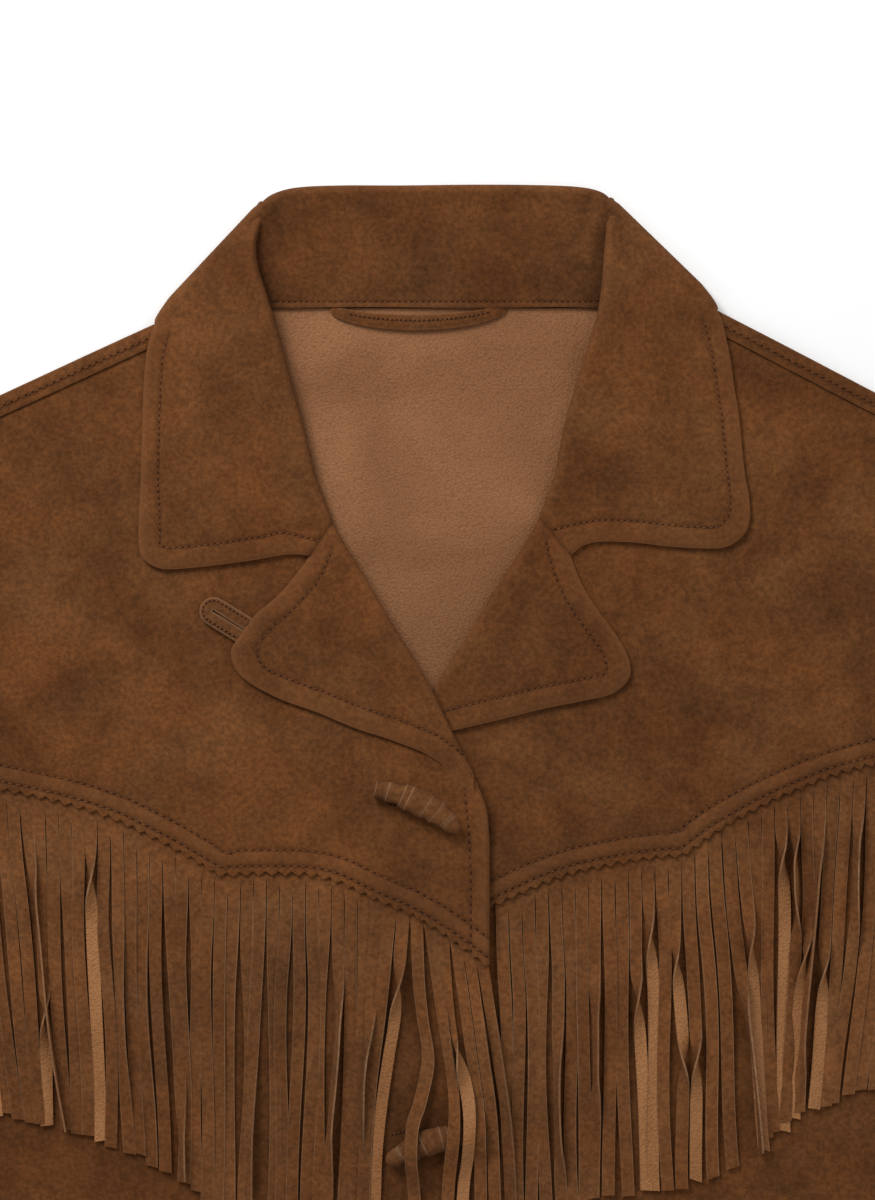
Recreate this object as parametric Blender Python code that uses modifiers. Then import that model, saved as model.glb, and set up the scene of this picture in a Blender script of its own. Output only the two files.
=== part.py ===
"""Fringed buckskin jacket, laid on its back on a flat surface.

Tables are in millimetres on the plan of the laid-out jacket: x to the right, y towards the collar,
x = 0 on the centre line and y = 0 just below the collar's points. Heights z are above the surface.
The wearer's right is at -x and laps over the wearer's left. Half tables give u, the distance from the
centre line towards the side; u is negative where a front passes the centre line.
"""
import math
from collections import namedtuple

import bmesh
import bpy

MM = 0.001                # metres in a millimetre
PLAN_MIDDLE_Y = -146.5    # the plan's y that the origin stands on

SUEDE = 1.2               # one leather
DOUBLE = 2.4              # two leathers, sewn and turned
FRINGE_DEPTH = 1.2        # one layer of strips
SEAM = 0.4                # gap between pieces that meet at a seam
REST_GAP = 1.0            # gap under what lies on a panel
LAYER = 1.8               # rise from one laid layer to the next, middle to middle
FLOOR_LAYER = SUEDE / 2   # middle of the back where it rests on the surface

HEM_Y = -500.0
LIFT = 3.0                # the neck end rides on the fall of the collar behind it
LIFT_FROM_Y = 95.0
LIFT_TO_Y = 131.0

NECK_HALF = 80.0          # the back neck edge runs straight from -NECK_HALF to NECK_HALF
NECK_Y = 145.8
SHOULDER_NECK = (92.0, 157.4)
SHOULDER_TIP = (235.0, 91.7)
FLAP = 9.0                # width of the back that shows in front of the shoulder fold
FLAP_RADIUS = LAYER / 2

FRINGE_LENGTH = 170.0
FRINGE_TUCK = 13.0        # header of the fringe, under the yoke
FRONT_TUCK = 20.0         # top of the lower front, under the yoke
FRINGE_LEAN = 0.17        # the outer strips swing in by this much of their length
FRINGE_OUTER = 256.0
FRINGE_LEFT_INNER = 28.0  # the left fringe starts beside the lapped front edge
FRINGE_ROOM = 1.2         # gap that keeps the fringe off the seams of the sleeve

OVER_FROM_U = 60.0        # the lapping front climbs between these
OVER_TO_U = 28.0

COLUMNS = (-12.0, 4.0, 28.0, 46.0, 60.0, 80.0, 97.0, 100.0, 125.0, 152.0, 182.0, 212.0, 400.0)
BODY_ROWS = (-500.0, -300.0, -110.0, -60.0, -30.0, 20.0, 60.0, 91.7)

Edge = namedtuple("Edge", "u y")

SIDE = (                  # side seam and armhole, from the hem up to the shoulder tip
    Edge(275, -500), Edge(264, -300), Edge(272, -110), Edge(250, -60), Edge(236, -30),
    Edge(227, 20), Edge(228, 60), Edge(235, 91.7),
)
YOKE_EDGE_RIGHT = (
    Edge(-25.5, -183), Edge(-14, -175), Edge(1, -164), Edge(28, -151), Edge(50, -141), Edge(65, -137.5),
    Edge(92, -137), Edge(109, -138), Edge(121, -131), Edge(149, -116), Edge(163, -109), Edge(187, -101.5),
    Edge(219, -94.5), Edge(265, -88),
)
YOKE_EDGE_LEFT = (
    Edge(-25, -176), Edge(0, -166), Edge(28, -153.5), Edge(57, -140), Edge(86, -132.5), Edge(113, -128.5),
    Edge(123, -128), Edge(142, -114), Edge(170, -99), Edge(198, -87.5), Edge(218, -82), Edge(265, -74),
)
NECKLINE_RIGHT = (        # front edge, fold of the lapel, then the neck seam under the collar
    Edge(-25.5, -120), Edge(-19, -90), Edge(-12, -76), Edge(4, -44), Edge(28, -4), Edge(38, 13),
    Edge(46, 25), Edge(60, 40), Edge(80, 66), Edge(92, 100), Edge(97, 122), Edge(100, 141.5),
)
NECKLINE_LEFT = (
    Edge(-25, -84), Edge(-12, -58), Edge(-4, -46), Edge(4, -34), Edge(28, 1), Edge(37, 16), Edge(46, 29),
    Edge(60, 44), Edge(80, 68), Edge(92, 100), Edge(97, 122), Edge(100, 141.5),
)

Climb = namedtuple("Climb", "middle_from middle_to side_from side_to")

CLIMB_RIGHT = Climb(50, 110, 20, 58)   # a yoke comes down off the fringe between these above its edge
CLIMB_LEFT = Climb(20, 55, 20, 44)
CLIMB_SIDE_U = 212.0

ROLL_START = ((0.0, 0.25), (0.9, 0.75), (3.2, 1.0))   # run from the roll, part of the rise there
ROLL_RUN = ROLL_START[-1][0]
FULL_ROLL = 30.0          # sections shorter than this roll more tightly
SECTION_SHARES = (0.25, 0.5, 0.75, 1.0)

Fold = namedtuple("Fold", "roll_u roll_y edge_u edge_y rise")

LEAF_RIGHT = (            # from the shoulder round the point of the collar to the notch
    Fold(91, 186, 146, 130, 6.5), Fold(92, 176, 147.5, 110, 7.0), Fold(89, 163, 148, 95, 7.0),
    Fold(83, 145, 148, 78, 6.5), Fold(77, 121, 148, 62, 6.0), Fold(69.5, 94, 148.5, 45, 5.0),
    Fold(64, 72, 149, 30, 4.0), Fold(60, 57, 146, 20, 3.2), Fold(58, 52, 133, 15.5, 3.0),
    Fold(57, 49, 111, 17.6, 2.7), Fold(56, 46, 90, 20.5, 2.3), Fold(55, 42, 74, 22.7, 2.0),
    Fold(53.5, 38, 63.5, 23.5, 1.6),
)
LEAF_LEFT = (
    Fold(85, 186, 144, 131, 6.5), Fold(84, 173, 147, 113, 7.0), Fold(83, 160, 149.5, 98, 7.0),
    Fold(79, 138, 152, 82, 6.5), Fold(73, 117, 153, 68, 6.0), Fold(67, 96, 155, 54, 5.0),
    Fold(62, 73, 156, 41, 4.0), Fold(59, 60, 152, 31, 3.2), Fold(57.5, 56, 139, 25.5, 3.0),
    Fold(56.5, 53, 116, 27, 2.7), Fold(55.5, 50, 95, 29, 2.3), Fold(54.5, 46, 77, 28.5, 2.0),
    Fold(52.5, 42, 67.5, 24.5, 1.6),
)
LAPEL_RIGHT = (           # from the notch down the fold to where it runs out in the front edge
    Fold(52, 35, 62, 20.5, 3.2), Fold(47, 27, 78, 5, 3.4), Fold(41, 18, 92, -8, 3.4),
    Fold(36, 9.5, 102, -22, 3.2), Fold(31, 1, 102.5, -33, 3.0), Fold(25, -9, 92, -42, 2.6),
    Fold(18, -21, 72, -51, 2.4), Fold(10, -34, 48, -60.5, 2.2), Fold(4, -44, 22, -70, 2.0),
    Fold(-3, -58.5, 5, -77, 1.8), Fold(-9, -71, -5, -85, 1.4), Fold(-15, -82, -12.5, -93, 1.0),
)
LAPEL_LEFT = (
    Fold(51, 39, 66, 21, 3.2), Fold(46, 30, 72, 9, 3.4), Fold(41, 22, 82, -6, 3.4),
    Fold(35, 12, 91, -19, 3.2), Fold(28.5, 2, 95.5, -32, 3.0), Fold(23, -5, 93, -42, 2.6),
    Fold(16, -15.5, 80, -48, 2.4), Fold(9, -26, 57, -53, 2.0), Fold(3, -35, 33, -58.5, 1.4),
    Fold(-1.5, -41.5, 9.5, -63.5, 1.0),
)
Rim = namedtuple("Rim", "x seam_y roll_x roll_y edge_x edge_y")

COLLAR_BACK = (           # stand, roll and fall behind, across the back of the neck
    Rim(-82, 149.0, -83, 199.0, -136, 138.0), Rim(-76, 146.9, -75, 204.6, -118, 134.5),
    Rim(-50, 146.6, -48, 205.6, -76, 132.5), Rim(-18, 146.6, -18, 205.8, -28, 131.5),
    Rim(18, 146.6, 18, 206.2, 28, 131.5), Rim(50, 146.6, 48, 205.8, 76, 132.5),
    Rim(75, 146.9, 74, 204.4, 118, 134.5), Rim(81, 148.4, 82, 200.0, 136, 138.5),
)
COLLAR_WALL = 2.0
COLLAR_ROLL = 3.6         # radius of the roll at the back of the neck
STAND_Z = 4.1
BEHIND_Z = 1.25           # middle of the fall that lies behind the back
WRAP_REACH = 9.0          # how far the leaf runs on behind its outer fold
WRAP_ROUND = 2.4          # radius of that fold on the plan
DIAGONAL_RIGHT = (-85.5, 198.5, -139.5, 138.5)   # outer fold of the leaf, roll end then edge end
DIAGONAL_LEFT = (84.5, 200.0, 137.5, 142.5)

Cuff = namedtuple("Cuff", "top_x top_y under_x under_y armhole crown")

SLEEVE = (                # outer fold and inner fold of the flattened sleeve, shoulder to cuff
    Cuff(236.4, 90.6, 273.6, -110.0, 1.0, 0.0), Cuff(262, 74, 284, -132, 0.7, 0.8),
    Cuff(300, 36, 297, -162, 0.3, 1.6), Cuff(345, -42, 318, -216, 0.1, 2.0),
    Cuff(398, -140, 345, -290, 0.0, 2.0), Cuff(452, -246, 374, -368, 0.0, 2.0),
    Cuff(500, -345, 400, -436, 0.0, 1.8), Cuff(536, -427, 422, -492, 0.0, 1.2),
)
LOOP_STRAP = 7.5          # width of the hanger loop
LOOP_DEPTH = 1.6
LOOP_ENDS = (-52.0, 33.0)
LOOP_TOP = (144.0, 144.6)
LOOP_SAG = 3.5            # how far the middle of its top edge hangs down
LOOP_RISE = 2.0           # how far its middle stands off the back
LOOP_NARROW = 0.55        # width of its ends, as a part of its middle
LOOP_STEPS = 10

BUTTON_LOOP = ((-96.5, -7.0), (-105.0, -4.6), (-115.5, -1.4), (-119.6, -4.6), (-116.6, -9.0),
               (-109.5, -12.3), (-103.0, -15.8))
BUTTON_LOOP_WIDTH = 4.2

Toggle = namedtuple("Toggle", "name x y turn layers")

TOGGLES = (               # layers: what lies between the front and the toggle
    Toggle("toggle_1", -9.0, -102.0, -27.0, 0),
    Toggle("toggle_2", -5.0, -272.5, 18.0, 1),
    Toggle("toggle_3", -9.0, -443.0, -14.0, 0),
)
TOGGLE_LENGTH = 46.0
TOGGLE_BOW = 2.0
TOGGLE_RADII = (2.9, 4.3, 4.8, 5.0, 5.0, 4.9, 4.5, 3.4)

LEATHERS = {              # colour, roughness
    "suede": ((0.128, 0.060, 0.024), 0.95),
    "fringe_suede": ((0.150, 0.073, 0.030), 0.95),
    "toggle_suede": ((0.180, 0.088, 0.038), 0.9),
}


def ramp(value, start, end):
    """0 at start, 1 at end, straight between them and level outside."""
    return min(1.0, max(0.0, (value - start) / (end - start)))


def along(table, u):
    """The y of an edge table at u."""
    if u <= table[0].u:
        return table[0].y
    for low, high in zip(table, table[1:]):
        if u <= high.u:
            return low.y + (high.y - low.y) * (u - low.u) / (high.u - low.u)
    return table[-1].y


def half_width(y):
    """Distance from the centre line to the side seam or armhole."""
    for low, high in zip(SIDE, SIDE[1:]):
        if y <= high.y:
            return low.u + (high.u - low.u) * max(0.0, y - low.y) / (high.y - low.y)
    return SIDE[-1].u


def shoulder_y(u):
    """The fold of the shoulder."""
    slope = (SHOULDER_TIP[1] - SHOULDER_NECK[1]) / (SHOULDER_TIP[0] - SHOULDER_NECK[0])
    return SHOULDER_NECK[1] + slope * (u - SHOULDER_NECK[0])


def lift(y):
    return LIFT * ramp(y, LIFT_FROM_Y, LIFT_TO_Y)


def over(u):
    """1 where the right front laps over the left one."""
    return 1.0 - ramp(u, OVER_TO_U, OVER_FROM_U)


def level(layers, y):
    return FLOOR_LAYER + LAYER * layers + lift(y)


def climb_rows(climb, edge, u):
    """The two heights y between which a yoke comes down off the fringe."""
    part = ramp(u, OVER_FROM_U, CLIMB_SIDE_U)
    start = climb.middle_from + (climb.side_from - climb.middle_from) * part
    end = climb.middle_to + (climb.side_to - climb.middle_to) * part
    return along(edge, u) + start, along(edge, u) + end


def yoke_right_z(u, y):
    hem_end = 1.0 - ramp(y, *climb_rows(CLIMB_RIGHT, YOKE_EDGE_RIGHT, u))
    return level(1 + 2 * over(u) + hem_end * (2 + over(u)), y)


def yoke_left_z(u, y):
    hem_end = 1.0 - ramp(y, *climb_rows(CLIMB_LEFT, YOKE_EDGE_LEFT, u))
    return level(1 + 2 * hem_end, y)


def front_right_z(u, y):
    return level(1 + over(u) * (1 + 2 * ramp(y, -260.0, -200.0)), y)


def front_left_z(u, y):
    return level(1, y)


def fringe_right_z(u, y):
    return front_right_z(u, y) + LAYER


def fringe_left_z(u, y):
    return front_left_z(u, y) + LAYER


def material(name):
    found = bpy.data.materials.get(name)
    if found:
        return found
    made = bpy.data.materials.new(name)
    made.use_nodes = True
    shader = made.node_tree.nodes["Principled BSDF"]
    colour, roughness = LEATHERS[name]
    shader.inputs["Base Color"].default_value = (*colour, 1.0)
    shader.inputs["Roughness"].default_value = roughness
    shader.inputs["Metallic"].default_value = 0.0
    return made


def finish(obj, leather, collection):
    obj.data.materials.append(material(leather))
    collection.objects.link(obj)
    return obj


def to_world(point):
    x, y, z = point
    return (x * MM, (y - PLAN_MIDDLE_Y) * MM, z * MM)


def cloth(name, grids, thickness, leather, collection, closed=False):
    """A wall of leather about the middle surface that the grids of points give."""
    bm = bmesh.new()
    for grid in grids:
        rows = [[bm.verts.new(to_world(point)) for point in row] for row in grid]
        for near, far in zip(rows, rows[1:]):
            count = len(near)
            for i in range(count if closed else count - 1):
                j = (i + 1) % count
                bm.faces.new((near[i], near[j], far[j], far[i]))
    bmesh.ops.remove_doubles(bm, verts=bm.verts, dist=0.02 * MM)
    bmesh.ops.recalc_face_normals(bm, faces=bm.faces)
    mesh = bpy.data.meshes.new(name)
    bm.to_mesh(mesh)
    bm.free()
    obj = bpy.data.objects.new(name, mesh)
    wall = obj.modifiers.new("wall", "SOLIDIFY")
    wall.thickness = thickness * MM
    wall.offset = 0.0
    wall.use_even_offset = True
    return finish(obj, leather, collection)


def panel(side, columns, rows, bottom, top, height, outer=half_width):
    """Points of a panel: a line for each column from the bottom edge to the top edge."""
    grid = []
    for column in columns:
        low = bottom(column)
        high = top(column)
        heights = [low]
        for row in rows:
            wanted = row(column) if callable(row) else row
            heights.append(max(heights[-1], min(high, wanted)))
        heights.append(high)
        line = []
        for y in heights:
            u = min(column, outer(y))
            line.append((side * u, y, height(u, y)))
        grid.append(line)
    return grid


def clipped(column, table):
    return along(table, min(column, table[-1].u))


def front_top(neckline):
    """Top edge of a yoke: the lapel fold, the neck seam, then the forward shoulder seam."""
    seam_drop = (FLAP + SEAM) / math.cos(shoulder_slope())

    def top(u):
        if u <= neckline[-1].u:
            return along(neckline, u)
        return shoulder_y(min(u, SHOULDER_TIP[0])) - seam_drop

    return top


def shoulder_slope():
    return math.atan2(SHOULDER_NECK[1] - SHOULDER_TIP[1], SHOULDER_TIP[0] - SHOULDER_NECK[0])


def back(collection):
    """One leather from side to side, folded forward over each shoulder."""
    def top(u):
        if abs(u) <= NECK_HALF:
            return NECK_Y
        return shoulder_y(min(abs(u), SHOULDER_TIP[0]))

    def height(u, y):
        return level(0, y)

    inner = (0.0, 30.0, 55.0, NECK_HALF, SHOULDER_NECK[0]) + COLUMNS[7:]
    rows = BODY_ROWS + (LIFT_FROM_Y, LIFT_TO_Y)
    halves = [panel(side, inner, rows, lambda u: HEM_Y, top, height) for side in (-1, 1)]
    flaps = []
    turn = shoulder_slope()
    for side, half in zip((-1, 1), halves):
        out_x = side * math.sin(turn)
        out_y = math.cos(turn)
        flap = []
        for line in half[4:]:
            x, y, z = line[-1]
            strip = [(x, y, z)]
            for angle in (45, 90, 135, 180):
                reach = FLAP_RADIUS * math.sin(math.radians(angle))
                rise = FLAP_RADIUS * (1 - math.cos(math.radians(angle)))
                strip.append((x + reach * out_x, y + reach * out_y, z + rise))
            end_y = y - FLAP * out_y
            strip.append((x - FLAP * out_x, end_y, level(1, end_y)))
            flap.append(strip)
        flaps.append(flap)
    return cloth("back", halves + flaps, SUEDE, "suede", collection)


def fronts(collection):
    """Lower fronts, from under the yokes to the hem."""
    rows = (-500.0, -380.0, -260.0, -200.0, -150.0, -110.0)
    for name, side, edge, height in (
        ("front_right", -1, YOKE_EDGE_RIGHT, front_right_z),
        ("front_left", 1, YOKE_EDGE_LEFT, front_left_z),
    ):
        columns = (edge[0].u,) + COLUMNS
        grid = panel(side, columns, rows, lambda u: HEM_Y, lambda u: clipped(u, edge) + FRONT_TUCK, height)
        cloth(name, [grid], SUEDE, "suede", collection)


def yokes(collection):
    """Front yokes, from the shoulder seams to the curved lower edge."""
    for name, side, edge, neckline, height, climb in (
        ("yoke_right", -1, YOKE_EDGE_RIGHT, NECKLINE_RIGHT, yoke_right_z, CLIMB_RIGHT),
        ("yoke_left", 1, YOKE_EDGE_LEFT, NECKLINE_LEFT, yoke_left_z, CLIMB_LEFT),
    ):
        rows = (
            lambda u: climb_rows(climb, edge, u)[0],
            lambda u: climb_rows(climb, edge, u)[1],
            20.0, 60.0, LIFT_FROM_Y, LIFT_TO_Y,
        )
        columns = (edge[0].u, -19.0) + COLUMNS[:6] + (92.0,) + COLUMNS[6:]
        grid = panel(side, columns, rows, lambda u: clipped(u, edge), front_top(neckline), height)
        cloth(name, [grid], SUEDE, "suede", collection)


def fringes(collection):
    """Plain slab of the fringe's reach under each yoke."""
    for name, side, edge, height, inner in (
        ("fringe_right", -1, YOKE_EDGE_RIGHT, fringe_right_z, YOKE_EDGE_RIGHT[0].u),
        ("fringe_left", 1, YOKE_EDGE_LEFT, fringe_left_z, FRINGE_LEFT_INNER),
    ):
        def outer(y):
            swing = FRINGE_LEAN * (clipped(FRINGE_OUTER, edge) - y)
            return min(half_width(y) - FRINGE_ROOM, FRINGE_OUTER - swing)

        columns = (inner,) + tuple(column for column in COLUMNS if column > inner)
        rows = (-300.0, -260.0, -200.0, -150.0)
        grid = panel(
            side, columns, rows,
            lambda u: clipped(min(u, FRINGE_OUTER), edge) - FRINGE_LENGTH,
            lambda u: clipped(min(u, FRINGE_OUTER), edge) + FRINGE_TUCK,
            height, outer,
        )
        cloth(name, [grid], FRINGE_DEPTH, "fringe_suede", collection)


def on_panel(height, u, y):
    """Middle of a double wall that lies on a panel."""
    return height(u, y) + (SUEDE + DOUBLE) / 2 + REST_GAP


def turned_section(fold, side, height):
    """One section of a lapel or collar leaf: round at the roll, then down to the outer edge."""
    run_u = fold.edge_u - fold.roll_u
    run_y = fold.edge_y - fold.roll_y
    length = math.hypot(run_u, run_y)
    rest = on_panel(height, fold.edge_u, fold.edge_y)
    near = on_panel(height, fold.roll_u, fold.roll_y)
    section = []
    bulge = min(1.0, length / FULL_ROLL)
    for reach, share in ROLL_START:
        part = reach * bulge / length
        z = near + fold.rise * share
        section.append((side * (fold.roll_u + run_u * part), fold.roll_y + run_y * part, z))
    start = ROLL_RUN * bulge / length
    for share in SECTION_SHARES:
        part = start + (1 - start) * share
        u = fold.roll_u + run_u * part
        y = fold.roll_y + run_y * part
        ground = max(on_panel(height, u, y), near + (rest - near) * share)
        z = ground + fold.rise * (1 - share) ** 2
        section.append((side * u, y, z))
    return section


def lapels(collection):
    """Facings turned out over the fronts."""
    for name, side, folds, height in (
        ("lapel_right", -1, LAPEL_RIGHT, yoke_right_z),
        ("lapel_left", 1, LAPEL_LEFT, yoke_left_z),
    ):
        grid = [turned_section(fold, side, height) for fold in folds]
        cloth(name, [grid], DOUBLE, "suede", collection)


def wrap_sections(diagonal, first, side):
    """The leaf's outer fold and the start of its run behind, from the back round to the front."""
    roll_x, roll_y, edge_x, edge_y = diagonal
    run = math.hypot(edge_x - roll_x, edge_y - roll_y)
    out_x = side * (roll_y - edge_y) / run
    out_y = abs(edge_x - roll_x) / run
    count = len(first)
    sections = []
    for angle in (None, -90, -45, 0, 45):
        section = []
        for i, (_, _, front_z) in enumerate(first):
            share = i / (count - 1)
            x = roll_x + (edge_x - roll_x) * share
            y = roll_y + (edge_y - roll_y) * share
            if angle is None:
                section.append((x - WRAP_REACH * out_x, y - WRAP_REACH * out_y, BEHIND_Z))
                continue
            reach = WRAP_ROUND * math.cos(math.radians(angle))
            half = (front_z - BEHIND_Z) / 2
            z = BEHIND_Z + half + half * math.sin(math.radians(angle))
            section.append((x + reach * out_x, y + reach * out_y, z))
        sections.append(section)
    return sections


def collar_leaf(name, side, folds, diagonal, height, collection):
    front = [turned_section(fold, side, height) for fold in folds]
    wrap = wrap_sections(diagonal, front[0], side)
    return cloth(name, [wrap + front], DOUBLE, "suede", collection)


def collar_back(name, collection):
    """Stand, roll and the fall behind, from one side of the neck to the other."""
    grid = []
    for rim in COLLAR_BACK:
        rise_x = rim.roll_x - rim.x
        rise_y = rim.roll_y - rim.seam_y
        rise = math.hypot(rise_x, rise_y)
        fall_x = rim.edge_x - rim.roll_x
        fall_y = rim.edge_y - rim.roll_y
        fall = math.hypot(fall_x, fall_y)
        section = []
        top_z = BEHIND_Z + 2 * COLLAR_ROLL
        for share in (0.0, 0.4, 0.75):
            part = share * (rise - COLLAR_ROLL) / rise
            z = STAND_Z + (top_z - STAND_Z) * share ** 1.5
            section.append((rim.x + rise_x * part, rim.seam_y + rise_y * part, z))
        for angle in (0, 45, 90, 135, 180):
            inset = COLLAR_ROLL * (1 - math.sin(math.radians(angle)))
            z = BEHIND_Z + COLLAR_ROLL + COLLAR_ROLL * math.cos(math.radians(angle))
            if angle <= 90:
                x = rim.roll_x - rise_x / rise * inset
                y = rim.roll_y - rise_y / rise * inset
            else:
                x = rim.roll_x + fall_x / fall * inset
                y = rim.roll_y + fall_y / fall * inset
            section.append((x, y, z))
        section.append((rim.edge_x, rim.edge_y, BEHIND_Z))
        grid.append(section)
    return cloth(name, [grid], COLLAR_WALL, "suede", collection)


def collar(collection, cutters):
    """The whole collar: the part across the back joined to its two front leaves."""
    whole = collar_back("collar", collection)
    for name, side, folds, diagonal, height in (
        ("collar_leaf_right", -1, LEAF_RIGHT, DIAGONAL_RIGHT, yoke_right_z),
        ("collar_leaf_left", 1, LEAF_LEFT, DIAGONAL_LEFT, yoke_left_z),
    ):
        leaf = collar_leaf(name, side, folds, diagonal, height, cutters)
        leaf.hide_render = True
        leaf.display_type = "WIRE"
        join = whole.modifiers.new(name, "BOOLEAN")
        join.operation = "UNION"
        join.solver = "EXACT"
        join.object = leaf
    return whole


def sleeves(collection):
    """Flattened tubes, open at the armhole and at the cuff."""
    heights = [edge.y for edge in reversed(SIDE) if edge.y >= -110]
    span = heights[0] - heights[-1]
    for name, side in (("sleeve_right", -1), ("sleeve_left", 1)):
        grid = []
        for cuff in SLEEVE:
            line = []
            for y in heights:
                share = (heights[0] - y) / span
                straight = SIDE[-1].u + (half_width(-110) - SIDE[-1].u) * share
                hollow = (half_width(y) - straight) * cuff.armhole
                line.append((
                    cuff.top_x + (cuff.under_x - cuff.top_x) * share + hollow,
                    cuff.top_y + (cuff.under_y - cuff.top_y) * share,
                    share,
                ))
            run_x = cuff.under_x - cuff.top_x
            run_y = cuff.under_y - cuff.top_y
            run = math.hypot(run_x, run_y)
            ring = [(side * x, y, level(0, -1)) for x, y, _ in line]
            end_x, end_y, _ = line[-1]
            start_x, start_y, _ = line[0]
            for angle in (-45, 0, 45):
                reach = FLAP_RADIUS * math.cos(math.radians(angle))
                z = FLOOR_LAYER + FLAP_RADIUS * (1 + math.sin(math.radians(angle)))
                ring.append((side * (end_x + reach * run_x / run), end_y + reach * run_y / run, z))
            for x, y, share in reversed(line):
                ring.append((side * x, y, level(1, -1) + cuff.crown * 4 * share * (1 - share)))
            for angle in (45, 0, -45):
                reach = FLAP_RADIUS * math.cos(math.radians(angle))
                z = FLOOR_LAYER + FLAP_RADIUS * (1 + math.sin(math.radians(angle)))
                ring.append((side * (start_x - reach * run_x / run), start_y - reach * run_y / run, z))
            grid.append(ring)
        cloth(name, [grid], SUEDE, "suede", collection, closed=True)


def hanger_loop(collection):
    """Strap at the back neck, bowed down in the middle, on the inside of the back."""
    grid = []
    for i in range(LOOP_STEPS + 1):
        share = i / LOOP_STEPS
        x = LOOP_ENDS[0] + (LOOP_ENDS[1] - LOOP_ENDS[0]) * share
        top = LOOP_TOP[0] + (LOOP_TOP[1] - LOOP_TOP[0]) * share
        top -= LOOP_SAG * math.sin(math.pi * share) ** 0.8
        z = level(0, top) + (SUEDE + LOOP_DEPTH) / 2 + SEAM
        z += LOOP_RISE * math.sin(math.pi * share)
        width = LOOP_STRAP * (LOOP_NARROW + (1 - LOOP_NARROW) * math.sin(math.pi * share) ** 0.5)
        grid.append([(x, top, z), (x, top - width, z)])
    cloth("hanger_loop", [grid], LOOP_DEPTH, "suede", collection)


def button_loop(collection):
    """Narrow strap doubled into a loop beside the right lapel."""
    grid = []
    count = len(BUTTON_LOOP)
    for i, (x, y) in enumerate(BUTTON_LOOP):
        before = BUTTON_LOOP[max(0, i - 1)]
        after = BUTTON_LOOP[min(count - 1, i + 1)]
        run_x = after[0] - before[0]
        run_y = after[1] - before[1]
        run = math.hypot(run_x, run_y)
        half = BUTTON_LOOP_WIDTH / 2
        z = yoke_right_z(-x, y) + (SUEDE + SUEDE) / 2 + SEAM
        grid.append([
            (x - half * run_y / run, y + half * run_x / run, z),
            (x + half * run_y / run, y - half * run_x / run, z),
        ])
    cloth("lapel_loop", [grid], SUEDE, "suede", collection)


def toggles(collection):
    """Rolled suede barrels, bowed a little, lying on the front over the buttonholes."""
    for toggle in TOGGLES:
        turn = math.radians(toggle.turn)
        ground = yoke_right_z if toggle.y > along(YOKE_EDGE_RIGHT, -toggle.x) else front_right_z
        rest = ground(-toggle.x, toggle.y) + SUEDE / 2 + toggle.layers * LAYER
        curve = bpy.data.curves.new(toggle.name, "CURVE")
        curve.dimensions = "3D"
        curve.bevel_depth = MM
        curve.bevel_resolution = 3
        curve.use_fill_caps = True
        spline = curve.splines.new("POLY")
        last = len(TOGGLE_RADII) - 1
        spline.points.add(last)
        for i, radius in enumerate(TOGGLE_RADII):
            share = i / last
            s = (share - 0.5) * TOGGLE_LENGTH
            bow = TOGGLE_BOW * math.sin(math.pi * share)
            x = toggle.x + s * math.cos(turn) - bow * math.sin(turn)
            y = toggle.y + s * math.sin(turn) + bow * math.cos(turn)
            z = rest + max(TOGGLE_RADII) + REST_GAP
            spline.points[i].co = (*to_world((x, y, z)), 1.0)
            spline.points[i].radius = radius
        obj = bpy.data.objects.new(toggle.name, curve)
        finish(obj, "toggle_suede", collection)


def main():
    for obj in list(bpy.data.objects):
        bpy.data.objects.remove(obj, do_unlink=True)
    jacket = bpy.data.collections.new("fringed_buckskin_jacket")
    cutters = bpy.data.collections.new("joined_shapes")
    bpy.context.scene.collection.children.link(jacket)
    bpy.context.scene.collection.children.link(cutters)
    back(jacket)
    fronts(jacket)
    yokes(jacket)
    fringes(jacket)
    lapels(jacket)
    collar(jacket, cutters)
    sleeves(jacket)
    hanger_loop(jacket)
    button_loop(jacket)
    toggles(jacket)


main()
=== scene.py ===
# %% [markdown]
# # A fringed buckskin jacket, laid out flat
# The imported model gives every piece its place: each leather panel is a plain wall there. This lesson turns
# those walls into suede: fine sheets that follow the walls, cut strips, stitches, rolled toggles and the
# nap of the leather. All sizes are in millimetres on the plan of the laid-out jacket, because a pattern
# cutter thinks in them, and one function turns them into metres in the model's frame.

# %% The frame
import math
import random
from collections import namedtuple

import bmesh
import bpy
import numpy as np
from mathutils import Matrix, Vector
from mathutils.bvhtree import BVHTree


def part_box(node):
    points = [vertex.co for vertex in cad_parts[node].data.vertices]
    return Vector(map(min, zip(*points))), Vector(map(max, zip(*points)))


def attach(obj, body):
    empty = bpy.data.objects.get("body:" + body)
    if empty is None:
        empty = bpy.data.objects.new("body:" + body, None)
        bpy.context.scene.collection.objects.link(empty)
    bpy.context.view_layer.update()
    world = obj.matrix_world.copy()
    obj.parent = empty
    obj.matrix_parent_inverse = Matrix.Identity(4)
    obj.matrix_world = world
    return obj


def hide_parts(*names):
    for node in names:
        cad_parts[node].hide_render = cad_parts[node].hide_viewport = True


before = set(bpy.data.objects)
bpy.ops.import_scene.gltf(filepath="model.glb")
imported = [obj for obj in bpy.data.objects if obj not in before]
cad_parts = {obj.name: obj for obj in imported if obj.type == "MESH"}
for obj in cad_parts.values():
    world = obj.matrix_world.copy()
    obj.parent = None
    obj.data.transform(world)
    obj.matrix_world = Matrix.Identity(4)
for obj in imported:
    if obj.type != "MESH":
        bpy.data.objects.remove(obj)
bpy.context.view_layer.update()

MM = 0.001
HEM_Y = -500.0
PLAN_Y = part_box("back")[0][1] / MM - HEM_Y   # the plan's y = 0 in the frame

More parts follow.
